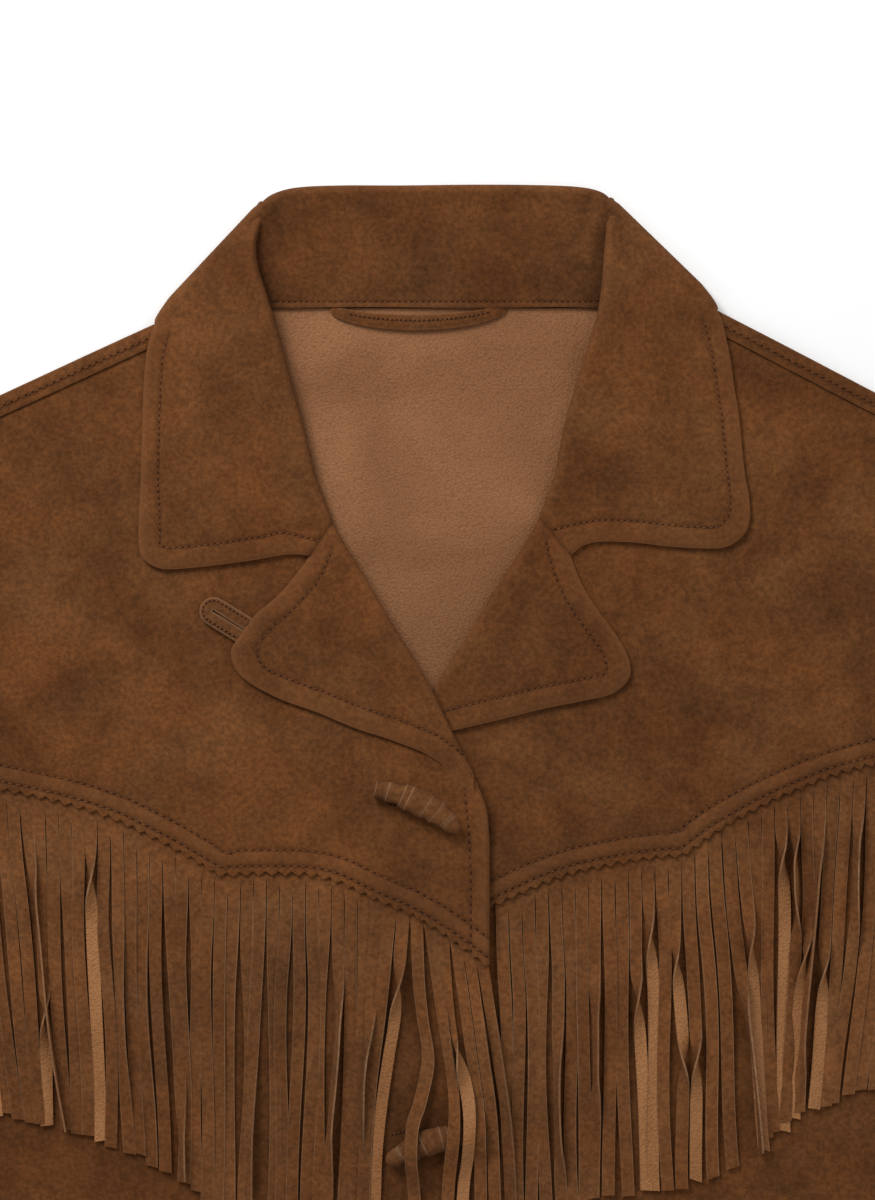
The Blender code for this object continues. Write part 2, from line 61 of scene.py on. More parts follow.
# %% [markdown]
# ## Camera, light and floor
# The jacket lies on a pale table and is seen from straight above, so the camera looks down with a long
# lens, which keeps the far and the near parts of the cloth the same size. One wide soft lamp comes from
# the collar's side, a little to the left, so each layer drops a faint shadow below itself, and a pale sky
# fills the rest.

# %% Camera, light and floor
VIEW_HEIGHT = 0.600        # what the long side of the picture covers, in metres
LENS = 85.0
SENSOR = 36.0
CLOTH_Z = 0.008


def studio():
    camera = bpy.data.cameras.new("camera")
    camera.lens = LENS
    camera.sensor_width = SENSOR
    camera_object = bpy.data.objects.new("camera", camera)
    distance = VIEW_HEIGHT * LENS / SENSOR
    camera_object.location = (0.0, PLAN_Y * MM, CLOTH_Z + distance)
    bpy.context.scene.collection.objects.link(camera_object)
    bpy.context.scene.camera = camera_object
    for name, place, size, power in (
        ("key_lamp", (-0.70, 1.20, 1.05), 0.7, 21.5),
        ("fill_lamp", (1.3, 0.7, 1.7), 1.6, 7.0),
    ):
        lamp = bpy.data.lights.new(name, "AREA")
        lamp.size = size
        lamp.energy = power
        lamp_object = bpy.data.objects.new(name, lamp)
        lamp_object.location = place
        aim = Vector((0.0, 0.05, 0.0)) - Vector(place)
        lamp_object.rotation_euler = aim.to_track_quat("-Z", "Y").to_euler()
        bpy.context.scene.collection.objects.link(lamp_object)
    world = bpy.data.worlds.new("sky")
    world.use_nodes = True
    world.node_tree.nodes["Background"].inputs["Color"].default_value = (1.0, 1.0, 1.0, 1.0)
    world.node_tree.nodes["Background"].inputs["Strength"].default_value = 0.44
    bpy.context.scene.world = world
    bpy.context.scene.view_settings.view_transform = "Standard"


def floor():
    bpy.ops.object.select_all(action="DESELECT")
    bpy.ops.mesh.primitive_plane_add(size=12.0, location=(0.0, 0.0, -0.0002))
    ground = bpy.context.object
    ground.name = "floor"
    paint = bpy.data.materials.new("floor_paint")
    paint.use_nodes = True
    shader = paint.node_tree.nodes["Principled BSDF"]
    shader.inputs["Base Color"].default_value = (0.98, 0.98, 0.98, 1.0)
    shader.inputs["Roughness"].default_value = 0.9
    ground.data.materials.append(paint)


studio()
floor()
print("camera at", tuple(round(v, 3) for v in bpy.context.scene.camera.location))

# %% [markdown]
# ## Leathers and thread
# Suede is the flesh side of the hide: a short nap that brushes light and dark in soft clouds. One node
# group makes the clouds, the speckle and the fibre height, and every suede piece uses it with its own
# colours. The other side of the same hide is smooth and pebbled, and the knife leaves a pale raw edge.
# Each sheet carries three attributes on its points, all painted into the colour: a pale edge, which is
# rubbed or cut leather and also a painted highlight on folds, rolls and welts; painted shade down in the
# seams; and a shade, which is a small random tone from strip to strip and painted shade on other pieces.

# %% Node helpers
def add_node(tree, kind, place=(0, 0), **settings):
    node = tree.nodes.new(kind)
    node.location = place
    for key, value in settings.items():
        setattr(node, key, value)
    return node


def noise_node(tree, vector, scale, detail, distortion=0.0, roughness=0.5):
    node = add_node(tree, "ShaderNodeTexNoise")
    node.inputs["Scale"].default_value = scale
    node.inputs["Detail"].default_value = detail
    node.inputs["Distortion"].default_value = distortion
    node.inputs["Roughness"].default_value = roughness
    tree.links.new(vector, node.inputs["Vector"])
    return node.outputs["Fac"]


def remap(tree, value, low, high, to_low=0.0, to_high=1.0):
    node = add_node(tree, "ShaderNodeMapRange", interpolation_type="SMOOTHSTEP")
    tree.links.new(value, node.inputs["Value"])
    for name, number in (("From Min", low), ("From Max", high), ("To Min", to_low), ("To Max", to_high)):
        node.inputs[name].default_value = number
    return node.outputs["Result"]


def blend(tree, factor, first, second, mode="MIX"):
    node = add_node(tree, "ShaderNodeMix", data_type="RGBA", blend_type=mode)
    for socket, value in ((node.inputs[0], factor), (node.inputs[6], first), (node.inputs[7], second)):
        if isinstance(value, bpy.types.NodeSocket):
            tree.links.new(value, socket)
        elif isinstance(value, tuple):
            socket.default_value = (*value, 1.0)
        else:
            socket.default_value = value
    return node.outputs[2]


def reckon(tree, operation, first, second):
    node = add_node(tree, "ShaderNodeMath", operation=operation)
    for socket, value in zip(node.inputs, (first, second)):
        if isinstance(value, bpy.types.NodeSocket):
            tree.links.new(value, socket)
        else:
            socket.default_value = value
    return node.outputs[0]


def new_group(name, inputs, outputs):
    group = bpy.data.node_groups.new(name, "ShaderNodeTree")
    for socket, kind in inputs:
        group.interface.new_socket(socket, in_out="INPUT", socket_type=kind)
    for socket, kind in outputs:
        group.interface.new_socket(socket, in_out="OUTPUT", socket_type=kind)
    return group, group.nodes.new("NodeGroupInput"), group.nodes.new("NodeGroupOutput")


# %% Suede nap, the group that all the suede pieces share
def suede_nap():
    group, given, result = new_group(
        "suede_nap",
        (("Vector", "NodeSocketVector"), ("Deep", "NodeSocketColor"), ("Bright", "NodeSocketColor")),
        (("Color", "NodeSocketColor"), ("Height", "NodeSocketFloat")),
    )
    vector = given.outputs["Vector"]
    clouds = noise_node(group, vector, 13.0, 6.0, 0.6, 0.6)
    patches = noise_node(group, vector, 42.0, 8.0, 0.3, 0.72)
    hue = noise_node(group, vector, 19.0, 5.0, 0.8, 0.6)
    speckle = noise_node(group, vector, 430.0, 5.0, 0.0, 0.7)
    fibre = noise_node(group, vector, 1900.0, 2.0)
    wide = remap(group, clouds, 0.3, 0.7)
    small = remap(group, patches, 0.28, 0.72)
    shade = reckon(group, "ADD", reckon(group, "MULTIPLY", wide, 0.5), reckon(group, "MULTIPLY", small, 0.5))
    colour = blend(group, shade, given.outputs["Deep"], given.outputs["Bright"])
    warm = blend(group, remap(group, hue, 0.35, 0.65), (0.98, 1.01, 1.04), (1.04, 0.98, 0.90))
    colour = blend(group, 1.0, colour, warm, "MULTIPLY")
    grey = remap(group, speckle, 0.3, 0.7, 0.72, 1.28)
    colour = blend(group, 1.0, colour, grey, "MULTIPLY")
    group.links.new(colour, result.inputs["Color"])
    coarse = reckon(group, "MULTIPLY", speckle, 0.7)
    height = reckon(group, "ADD", coarse, reckon(group, "MULTIPLY", fibre, 0.5))
    group.links.new(height, result.inputs["Height"])
    return group


def hide_grain():
    group, given, result = new_group(
        "hide_grain",
        (("Vector", "NodeSocketVector"), ("Deep", "NodeSocketColor"), ("Bright", "NodeSocketColor")),
        (("Color", "NodeSocketColor"), ("Height", "NodeSocketFloat")),
    )
    vector = given.outputs["Vector"]
    clouds = noise_node(group, vector, 14.0, 4.0, 0.6)
    colour = blend(group, remap(group, clouds, 0.3, 0.7), given.outputs["Deep"], given.outputs["Bright"])
    pebble = add_node(group, "ShaderNodeTexVoronoi", feature="SMOOTH_F1")
    pebble.inputs["Scale"].default_value = 980.0
    group.links.new(vector, pebble.inputs["Vector"])
    crumb = noise_node(group, vector, 260.0, 3.0)
    shade = remap(group, pebble.outputs["Distance"], 0.1, 0.8, 1.08, 0.80)
    colour = blend(group, 1.0, colour, shade, "MULTIPLY")
    group.links.new(colour, result.inputs["Color"])
    height = reckon(group, "SUBTRACT", reckon(group, "MULTIPLY", crumb, 0.5), pebble.outputs["Distance"])
    group.links.new(height, result.inputs["Height"])
    return group


NAP = suede_nap()
GRAIN = hide_grain()
print("node groups", [group.name for group in bpy.data.node_groups])

# %% The materials
PALE_EDGE_AND_HIGHLIGHT_COLOUR = (0.175, 0.068, 0.024)    # folded edges rubbed lighter, and painted highlight on folds, rolls and welts
SEAM_SHADE_COLOUR = (0.045, 0.016, 0.006)   # painted shade down in a row of stitches


def leather(name, group, deep, bright, roughness, bump, sheen=0.0, pale_edge_and_highlight=PALE_EDGE_AND_HIGHLIGHT_COLOUR):
    made = bpy.data.materials.new(name)
    made.use_nodes = True
    tree = made.node_tree
    shader = tree.nodes["Principled BSDF"]
    place = add_node(tree, "ShaderNodeTexCoord")
    look = add_node(tree, "ShaderNodeGroup", node_tree=group)
    tree.links.new(place.outputs["Object"], look.inputs["Vector"])
    look.inputs["Deep"].default_value = (*deep, 1.0)
    look.inputs["Bright"].default_value = (*bright, 1.0)
    colour = look.outputs["Color"]
    # Pale edges are rubbed or cut leather and also painted highlight; the seam colour is painted shade.
    for attribute, target, most in (("pale_edge_and_highlight", pale_edge_and_highlight, 0.75), ("seam_shade", SEAM_SHADE_COLOUR, 0.85)):
        read = add_node(tree, "ShaderNodeAttribute", attribute_name=attribute)
        share = reckon(tree, "MULTIPLY", read.outputs["Fac"], most)
        colour = blend(tree, share, colour, target)
    # The shade attribute scales the colour: a random tone per fringe strip, and painted shade on several
    # pieces.
    shade = add_node(tree, "ShaderNodeAttribute", attribute_name="shade")
    tint = reckon(tree, "ADD", shade.outputs["Fac"], 1.0)
    colour = blend(tree, 1.0, colour, tint, "MULTIPLY")
    tree.links.new(colour, shader.inputs["Base Color"])
    relief = add_node(tree, "ShaderNodeBump")
    relief.inputs["Strength"].default_value = bump
    relief.inputs["Distance"].default_value = 0.0006
    tree.links.new(look.outputs["Height"], relief.inputs["Height"])
    tree.links.new(relief.outputs["Normal"], shader.inputs["Normal"])
    shader.inputs["Roughness"].default_value = roughness
    shader.inputs["Specular IOR Level"].default_value = 0.12
    if sheen:
        shader.inputs["Sheen Weight"].default_value = sheen
        shader.inputs["Sheen Roughness"].default_value = 0.55
        shader.inputs["Sheen Tint"].default_value = (0.75, 0.48, 0.30, 1.0)
    return made


SUEDE = leather("suede", NAP, (0.066, 0.0225, 0.0062), (0.160, 0.059, 0.0178), 0.95, 0.5, 0.03)
FRINGE = leather("fringe_suede", NAP, (0.095, 0.035, 0.0109), (0.182, 0.071, 0.0240), 0.95, 0.5, 0.03,
                 pale_edge_and_highlight=(0.340, 0.205, 0.115))
INSIDE = leather("smooth_side", GRAIN, (0.220, 0.092, 0.036), (0.295, 0.130, 0.055), 0.5, 0.6)
STRIP_BACK = leather("strip_smooth_side", GRAIN, (0.275, 0.116, 0.041), (0.365, 0.162, 0.062), 0.45, 0.8)
CUT_EDGE = leather("cut_edge", NAP, (0.190, 0.095, 0.046), (0.320, 0.178, 0.095), 0.9, 0.4)
TOGGLE = leather("toggle_suede", NAP, (0.074, 0.028, 0.0088), (0.160, 0.062, 0.0205), 0.92, 0.5, 0.03,
                 pale_edge_and_highlight=(0.330, 0.190, 0.105))
THREAD = leather("thread", NAP, (0.098, 0.035, 0.012), (0.165, 0.064, 0.024), 0.7, 0.3)
# Painted shade: the colour of the flat disks that stand for the needle holes.
NEEDLE_HOLE_SHADE = leather("needle_hole_shade", NAP, (0.020, 0.007, 0.003), (0.040, 0.014, 0.006), 0.95, 0.1)
print(len(bpy.data.materials), "materials")

# %% [markdown]
# ## Curves and sheets
# A pattern piece is an outline with a few measured points. A smooth curve goes through them, and a fine
# grid fills the outline, so that the leather can swell, roll and sink in its rows of stitches. Solidify
# then gives the grid its thickness, with one leather outside, another inside, and a raw edge all round.

# %% Curves
def spline(points, steps=10):
    """A smooth curve through the points, with any number of columns."""
    given = np.array(points, float)
    ends = np.vstack([2 * given[0] - given[1], given, 2 * given[-1] - given[-2]])
    share = np.linspace(0, 1, steps, endpoint=False)[:, None]
    parts = []
    for before, start, end, after in zip(ends, ends[1:], ends[2:], ends[3:]):
        bend = 2 * before - 5 * start + 4 * end - after
        twist = 3 * start - before - 3 * end + after
        parts.append(0.5 * (2 * start + (end - before) * share + bend * share**2 + twist * share**3))
    return np.vstack([*parts, given[-1:]])


def run_along(line):
    gaps = np.linalg.norm(np.diff(line[:, :2], axis=0), axis=1)
    return np.concatenate([[0.0], np.cumsum(gaps)])


def resample(line, step=None, count=None):
    """The same curve with its points evenly spaced."""
    run = run_along(line)
    if count is None:
        count = max(2, int(round(run[-1] / step)) + 1)
    wanted = np.linspace(0.0, run[-1], count)
    return np.stack([np.interp(wanted, run, line[:, k]) for k in range(line.shape[1])], axis=1)


def offset(line, distance):
    """A curve beside another one, on the left of its direction for a positive distance."""
    run = np.gradient(line[:, :2], axis=0)
    run /= np.linalg.norm(run, axis=1)[:, None]
    return line[:, :2] + distance * np.stack([-run[:, 1], run[:, 0]], axis=1)


def gap_to(grid, line):
    """Distance on the plan from each point of a grid to a curve."""
    flat = grid[..., :2].reshape(-1, 2)
    best = np.full(len(flat), 1e9)
    for start, end in zip(line[:, :2], line[1:, :2]):
        run = end - start
        share = np.clip((flat - start) @ run / max(run @ run, 1e-9), 0, 1)
        best = np.minimum(best, np.linalg.norm(flat - start - share[:, None] * run, axis=1))
    return best.reshape(grid.shape[:2])


def ramp(value, start, end):
    """0 at start, 1 at end, with soft ends."""
    share = np.clip((value - start) / (end - start), 0.0, 1.0)
    return share * share * (3 - 2 * share)


def bell(distance, width):
    return np.exp(-((distance / width) ** 2))


# %% Sheets
def to_frame(grid):
    return np.stack([grid[..., 0], grid[..., 1] + PLAN_Y, grid[..., 2]], axis=-1) * MM


def select_only(obj):
    bpy.ops.object.select_all(action="DESELECT")
    obj.select_set(True)
    bpy.context.view_layer.objects.active = obj


def apply_modifiers(obj):
    select_only(obj)
    for modifier in list(obj.modifiers):
        bpy.ops.object.modifier_apply(modifier=modifier.name)


def sheet_piece(name, grids, leathers, wall, faces_up=True, closed=False, rounded=0.0):
    """A leather piece from grids of plan points, each with its painted marks: pale edge and highlight, seam
    shade, shade.
    """
    verts = []
    faces = []
    marks = {"pale_edge_and_highlight": [], "seam_shade": [], "shade": []}
    for grid, given in grids:
        start = sum(len(part) for part in verts)
        rows, columns = grid.shape[:2]
        index = start + np.arange(rows * columns).reshape(rows, columns)
        if closed:
            index = np.concatenate([index, index[:, :1]], axis=1)
        quads = np.stack([index[:-1, :-1], index[1:, :-1], index[1:, 1:], index[:-1, 1:]], axis=-1)
        points = to_frame(grid).reshape(-1, 3)
        verts.append(points)
        faces.append(quads.reshape(-1, 4))
        for key in marks:
            marks[key].append(np.broadcast_to(given.get(key, 0.0), (rows, columns)).reshape(-1))
    verts = np.concatenate(verts)
    faces = np.concatenate(faces)
    first = verts[faces]
    turn = np.cross(first[:, 2] - first[:, 0], first[:, 3] - first[:, 1])[:, 2]
    weight = turn * (first[:, :, 2].mean(axis=1) > np.median(verts[:, 2])) if closed else turn
    if (weight.sum() > 0) != faces_up:
        faces = faces[:, ::-1]
    mesh = bpy.data.meshes.new(name)
    mesh.from_pydata(verts.tolist(), [], faces.tolist())
    for key, parts in marks.items():
        layer = mesh.attributes.new(key, "FLOAT", "POINT")
        layer.data.foreach_set("value", np.concatenate(parts).astype(np.float32))
    piece = bpy.data.objects.new(name, mesh)
    bpy.context.scene.collection.objects.link(piece)
    for leather_made in leathers:
        mesh.materials.append(leather_made)
    work = bmesh.new()
    work.from_mesh(mesh)
    bmesh.ops.remove_doubles(work, verts=work.verts, dist=0.02 * MM)
    bmesh.ops.dissolve_degenerate(work, dist=0.01 * MM, edges=work.edges)
    work.to_mesh(mesh)
    work.free()
    thick = piece.modifiers.new("wall", "SOLIDIFY")
    thick.thickness = wall * MM
    thick.offset = 0.0
    thick.material_offset = 1
    thick.material_offset_rim = 2
    if rounded:
        soft = piece.modifiers.new("turned_edge", "BEVEL")
        soft.width = rounded * MM
        soft.segments = 2
        soft.limit_method = "ANGLE"
        soft.angle_limit = math.radians(55)
    apply_modifiers(piece)
    bpy.ops.object.shade_smooth_by_angle(angle=math.radians(55))
    return piece


def belongs(piece, slot, *nodes):
    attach(piece, "root")
    if nodes:
        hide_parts(*nodes)
    print(piece.name, len(piece.data.polygons), "faces")
    return piece


# %% [markdown]
# ## How the layers lie
# The jacket lies on its back. Each leather above the first rests one layer higher, the right front laps
# over the left one, and every yoke climbs over the top of its fringe. The fronts swell a little off the
# back, with soft creases, and every layer above them takes the same swell, so that none cuts through
# another.

# %% Heights of the layers
FLOOR_LAYER = 0.6
LAYER = 1.8
SUEDE_WALL = 1.2
DOUBLE_WALL = 2.2
REST_GAP = 1.0
LIFT = 3.0

SIDE = np.array((          # half width and height of the side seam and armhole
    (275, -500), (268, -400), (264, -300), (266, -210), (272, -110), (252, -60), (236, -25), (228, 20),
    (228.5, 60), (235, 91.7),
), float)
SIDE_CURVE = spline(SIDE)
YOKE_EDGE_RIGHT = (
    ((-25.5, -183), (-14, -174.5), (1, -164), (14, -156.5), (28, -150.5), (40, -145), (50, -140.5),
     (65, -137.3), (80, -136.8), (92, -136.8), (109, -137.6)),
    ((109, -137.6), (121, -130.5), (135, -122.5), (149, -115.5), (163, -109), (187, -101.5), (219, -94.5),
     (245, -90), (270, -87)),
)
YOKE_EDGE_LEFT = (
    ((-25, -176), (0, -166), (14, -160), (28, -153), (43, -146), (57, -140), (71, -135.5), (86, -132.5),
     (99, -130), (113, -128.3), (123, -127.6)),
    ((123, -127.6), (130, -122.5), (142, -114), (156, -106), (170, -99), (184, -93), (198, -87.5),
     (218, -82), (240, -77), (268, -73)),
)


def edge_curve(parts):
    return np.vstack([spline(part) for part in parts])


EDGES = {-1: edge_curve(YOKE_EDGE_RIGHT), 1: edge_curve(YOKE_EDGE_LEFT)}

Climb = namedtuple("Climb", "middle_from middle_to side_from side_to")
CLIMBS = {-1: Climb(50, 110, 20, 58), 1: Climb(20, 55, 20, 44)}

Crease = namedtuple("Crease", "x1 y1 x2 y2 width height")
CREASES = (
    Crease(-226, 62, -168, 18, 11, 0.9), Crease(-214, -8, -150, -44, 13, 0.7),
    Crease(-182, 74, -128, 2, 16, 0.6), Crease(-118, -36, -66, -88, 14, 0.5),
    Crease(-250, -70, -196, -40, 9, 0.9), Crease(228, 48, 176, 6, 12, 0.9),
    Crease(222, -12, 168, -58, 10, 0.6), Crease(186, 82, 160, 24, 15, 0.7),
    Crease(122, -20, 70, -88, 17, 0.6), Crease(246, -66, 205, -30, 10, 0.8),
    Crease(-238, -190, -214, -420, 16, 1.6), Crease(-176, -300, -160, -470, 20, 1.1),
    Crease(-104, -330, -122, -500, 14, 1.5), Crease(-58, -250, -44, -420, 18, 0.8),
    Crease(80, -320, 96, -500, 19, 1.3), Crease(146, -270, 138, -430, 14, 0.9),
    Crease(236, -180, 204, -380, 17, 1.5), Crease(188, -410, 214, -500, 12, 1.2),
)


def half_width(y):
    return np.interp(y, SIDE_CURVE[:, 1], SIDE_CURVE[:, 0])


def edge_y(side, u):
    return np.interp(u, EDGES[side][:, 0], EDGES[side][:, 1])


def over(u):
    """1 where the right front laps over the left one."""
    return 1.0 - ramp(u, 28.0, 60.0)


def level(layers, y):
    return FLOOR_LAYER + LAYER * layers + LIFT * ramp(y, 95.0, 131.0)


def segment_gap(x, y, crease):
    run_x = crease.x2 - crease.x1
    run_y = crease.y2 - crease.y1
    share = ((x - crease.x1) * run_x + (y - crease.y1) * run_y) / (run_x**2 + run_y**2)
    share = np.clip(share, 0.0, 1.0)
    return np.hypot(x - crease.x1 - share * run_x, y - crease.y1 - share * run_y)


def swell(x, y):
    """How far the fronts stand off the back."""
    total = 0.55 + 0.3 * np.sin(x / 37.0 + 0.7) * np.sin(y / 49.0 + 1.3) + 0.2 * np.sin((x + y) / 23.0)
    for crease in CREASES:
        total = total + crease.height * bell(segment_gap(x, y, crease), crease.width)
    return np.maximum(total, 0.05)


def hem_end(side, u, y):
    """1 where a yoke lies on its fringe, 0 above."""
    climb = CLIMBS[side]
    part = ramp(u, 60.0, 212.0)
    start = climb.middle_from + (climb.side_from - climb.middle_from) * part
    end = climb.middle_to + (climb.side_to - climb.middle_to) * part
    above = y - edge_y(side, u)
    return 1.0 - ramp(above, start, end)


def yoke_z(side, u, y):
    lies = hem_end(side, u, y)
    layers = 1 + 2 * over(u) + lies * (2 + over(u)) if side < 0 else 1 + 2 * lies
    return level(layers, y) + swell(side * u, y)


def front_z(side, u, y):
    layers = 1 + over(u) * (1 + 2 * ramp(y, -260.0, -200.0)) if side < 0 else 1
    return level(layers, y) + swell(side * u, y)


print("yoke hem at the middle", round(float(yoke_z(-1, 0.0, -160.0)), 2), "mm above the table")

# %% [markdown]
# ## The back
# One hide from side to side. Its smooth side faces up, so it is what shows inside the neck. At each
# shoulder it folds forward and ends in the shoulder seam, where its suede side faces up.

# %% The back
NECK_HALF = 80.0
NECK_Y = 146.2
SHOULDERS = {-1: ((92.0, 159.2), (235.0, 94.0)), 1: ((92.0, 168.0), (235.0, 94.4))}
FLAP = 8.3                 # width of the back that shows in front of the fold
FLAP_RADIUS = 1.1
SIDE_REF = 266.0           # half width that the columns of a panel are laid out for


def shoulder_y(side, u):
    (u1, y1), (u2, y2) = SHOULDERS[side]
    return y1 + (y2 - y1) * (np.minimum(u, u2) - u1) / (u2 - u1)


def shoulder_turn(side):
    (u1, y1), (u2, y2) = SHOULDERS[side]
    return math.atan2(y1 - y2, u2 - u1)


def spread(u, y):
    """A column of a panel follows the side seam the more, the nearer it is."""
    return u + (half_width(y) - SIDE_REF) * np.clip((u - 110.0) / (SIDE_REF - 110.0), 0, 1) ** 1.6


def meet(column, border):
    """Where a column meets a border that depends on the distance from the centre line."""
    y = border(column)
    for _ in range(4):
        y = border(spread(column, y))
    return y


def back_top(side):
    def top(u):
        neck = NECK_Y + (shoulder_y(side, 92.0) - NECK_Y) * ramp(u, NECK_HALF, 92.0)
        return np.where(u <= NECK_HALF, NECK_Y, np.where(u < 92.0, neck, shoulder_y(side, u)))
    return top


def lining_swell(x, y):
    """Soft waves of the back inside the neck, which fade out under the fronts."""
    wave = 0.5 * np.sin(x / 21.0 + y / 60.0 + 0.4) + 0.4 * np.sin(y / 17.0 - x / 45.0)
    hollow = bell(np.hypot(x / 62.0, (y - 70.0) / 74.0), 1.0)
    return np.maximum(0.0, 0.45 + 0.4 * wave) * hollow


def make_back():
    grids = []
    for side in (-1, 1):
        columns = np.concatenate([np.linspace(0, 92, 27), np.linspace(92, SIDE_REF, 44)[1:]])
        top = back_top(side)
        shares = np.concatenate([np.linspace(0, 0.6, 46), np.linspace(0.6, 0.985, 66)[1:], (0.992, 1.0)])
        grid = np.zeros((len(columns), len(shares), 3))
        for i, column in enumerate(columns):
            y = HEM_Y + (float(meet(column, top)) - HEM_Y) * shares
            u = spread(column, y)
            grid[i, :, 0] = side * u
            grid[i, :, 1] = y
            grid[i, :, 2] = level(0, y) + lining_swell(side * u, y)
        # Painted shade: the back is darkened a little everywhere, and more below the middle of the neck
        # opening.
        grids.append((grid[::side], {"shade": -0.05 - 0.13 * ramp(grid[::side, :, 1], 60.0, -30.0)}))
        turn = shoulder_turn(side)
        out = np.array((side * math.sin(turn), math.cos(turn)))
        start = grid[columns >= 92.0, -1]
        angles = np.radians(np.linspace(0, 180, 9))
        flap = np.zeros((len(start), len(angles) + 8, 3))
        for j, angle in enumerate(angles):
            flap[:, j, :2] = start[:, :2] + FLAP_RADIUS * math.sin(angle) * out
            flap[:, j, 2] = start[:, 2] + FLAP_RADIUS * (1 - math.cos(angle))
        for j, share in enumerate(np.linspace(0, 1, 9)[1:]):
            here = start[:, :2] - FLAP * share * out
            flap[:, len(angles) + j, :2] = here
            lie = level(1, here[:, 1]) + swell(here[:, 0], here[:, 1]) + 0.9
            puff = 0.5 * math.sin(math.pi * share) - 0.7 * bell(share - 0.56, 0.13)
            begin = start[:, 2] + 2 * FLAP_RADIUS
            flap[:, len(angles) + j, 2] = begin + (lie - begin) * ramp(share, 0, 0.45) + puff
        gaps = np.linspace(0, FLAP, 8)
        # Painted shade in the shoulder seam's row of stitches; painted highlight round the top of the fold,
        # and a pale flap edge.
        marks = np.concatenate([np.zeros(len(angles)), 0.5 * bell(gaps - 0.56 * FLAP, 0.8)])
        pale_edge_and_highlight = np.concatenate([0.35 * np.sin(angles), 0.25 * bell(gaps - FLAP, 1.3)])
        grids.append((flap[::side], {"seam_shade": marks[None, :], "pale_edge_and_highlight": pale_edge_and_highlight[None, :]}))
    return sheet_piece("back_leather", grids, (SUEDE, INSIDE, CUT_EDGE), SUEDE_WALL, faces_up=False)


back = belongs(make_back(), "suede", "back")

# %% [markdown]
# ## Lower fronts and yokes
# The lower fronts run from under the yokes to the hem. Each yoke is cut with pinking shears along its
# curved lower edge and held by two rows of stitches, which pull the leather down into shallow channels.
# The grid of a yoke has a column for every quarter of a tooth.

# %% Lower fronts
FRONT_STITCH = 16.0        # topstitching, as far as this from the centre line
FRONT_TUCK = 20.0


def side_bend(side, u, y):
    """The last millimetres of a front bend down to the back at the side seam."""
    return 1.1 * ramp(u - half_width(y), -3.0, 0.0)


def make_front(side, inner, name):
    dense = FRONT_STITCH + np.linspace(-4, 4, 9)
    if side < 0:
        dense = np.concatenate([-dense[::-1], [inner, inner + 1.2, inner + 2.6]])
    columns = np.unique(np.round(np.concatenate([[inner], np.arange(inner + 6, SIDE_REF, 4.5), dense,
                                                 [SIDE_REF - 3, SIDE_REF - 1.5, SIDE_REF]]), 2))
    columns = columns[columns >= inner]
    near = np.array((0.0, 1.5, 3.5, 6.0, 8.5, 10.0, 11.5, 14.0, 18.0, 23.0))
    shares = np.linspace(0, 1, 62)
    grid = np.zeros((len(columns), len(near) + len(shares), 3))
    seam_shade = np.zeros(grid.shape[:2])
    for i, column in enumerate(columns):
        top = float(meet(column, lambda u: edge_y(side, u))) + FRONT_TUCK
        y = np.concatenate([HEM_Y + near, HEM_Y + 28.0 + (top - HEM_Y - 28.0) * shares])
        u = spread(column, y)
        z = front_z(side, u, y) - side_bend(side, u, y)
        hem = bell(y - HEM_Y - 10.0, 1.1)
        placket = bell(-u - FRONT_STITCH, 1.1) if side < 0 else bell(u - half_width(y) + 9.0, 0.01)
        z = z - 0.45 * hem - 0.35 * placket + 0.25 * bell(y - HEM_Y - 5.0, 3.0)
        grid[i] = np.stack([side * u, y, z], axis=1)
        # Painted shade in the rows of stitches at the hem and the placket.
        seam_shade[i] = 0.45 * np.maximum(hem, placket)
    # Painted shade: each lower front is darkened all over, the right one more than the left.
    shade = (-0.09 - 0.04 * -side) * np.ones(grid.shape[:2])
    return sheet_piece(name, [(grid, {"seam_shade": seam_shade, "shade": shade})], (SUEDE, INSIDE, CUT_EDGE), SUEDE_WALL)


front_right = belongs(make_front(-1, -25.5, "lower_front_right"), "suede", "front_right")
front_left = belongs(make_front(1, -25.0, "lower_front_left"), "suede", "front_left")

# %% Yokes
NECKLINES = {
    -1: spline(((-25.5, -133), (-25.5, -120), (-24.6, -106.5), (-22.5, -99), (-19, -90), (-13, -78),
                (-6, -65), (-1, -56), (4, -44), (17, -21), (31, 1), (38, 13), (47, 27), (55, 44),
                (64, 62), (74, 84), (84, 105), (92, 124), (97, 134), (100, 142))),
    1: spline(((-25, -84), (-12, -58), (-4, -46), (4, -34), (16, -15), (28.5, 3), (37, 18), (46, 31),
               (54, 46), (62, 64), (72, 86), (82, 106), (92, 124), (97, 134), (100, 142))),
}
ROLL_TUCK = 3.0            # a yoke stops this far short of the fold that covers its neck edge
TOOTH = 6.5
TOOTH_DEPTH = 2.5
ROW_INSETS = (3.6, 11.6)   # the two rows of stitches above the pinked edge


def yoke_top(side):
    seam_drop = (FLAP - 1.6) / math.cos(shoulder_turn(side))
    line = NECKLINES[side]

    def top(u):
        tuck = ROLL_TUCK * ramp(u, -14.0, 4.0)
        neck = np.interp(u, line[:, 0] + 0.4 * tuck, line[:, 1] - 0.4 * tuck)
        return np.where(u <= 100.0, neck, shoulder_y(side, u) - seam_drop)

    return top


def row_lines(side):
    """The two rows of stitches of a yoke, as plan curves."""
    rows = []
    for inset in ROW_INSETS:
        parts = YOKE_EDGE_RIGHT if side < 0 else YOKE_EDGE_LEFT
        line = np.vstack([offset(resample(spline(part), step=2.0), inset) for part in parts])
        line = line[np.argsort(line[:, 0])]
        rows.append(resample(line, step=3.0) * (side, 1))
    return rows


YOKE_ROWS = {side: row_lines(side) for side in (-1, 1)}
FRONT_ROW = resample(np.array(((13.2, -90.0), (14.4, -104.0), (15.8, -118.0), (16.6, -135.0),
                               (16.6, -177.0))), step=3.0)


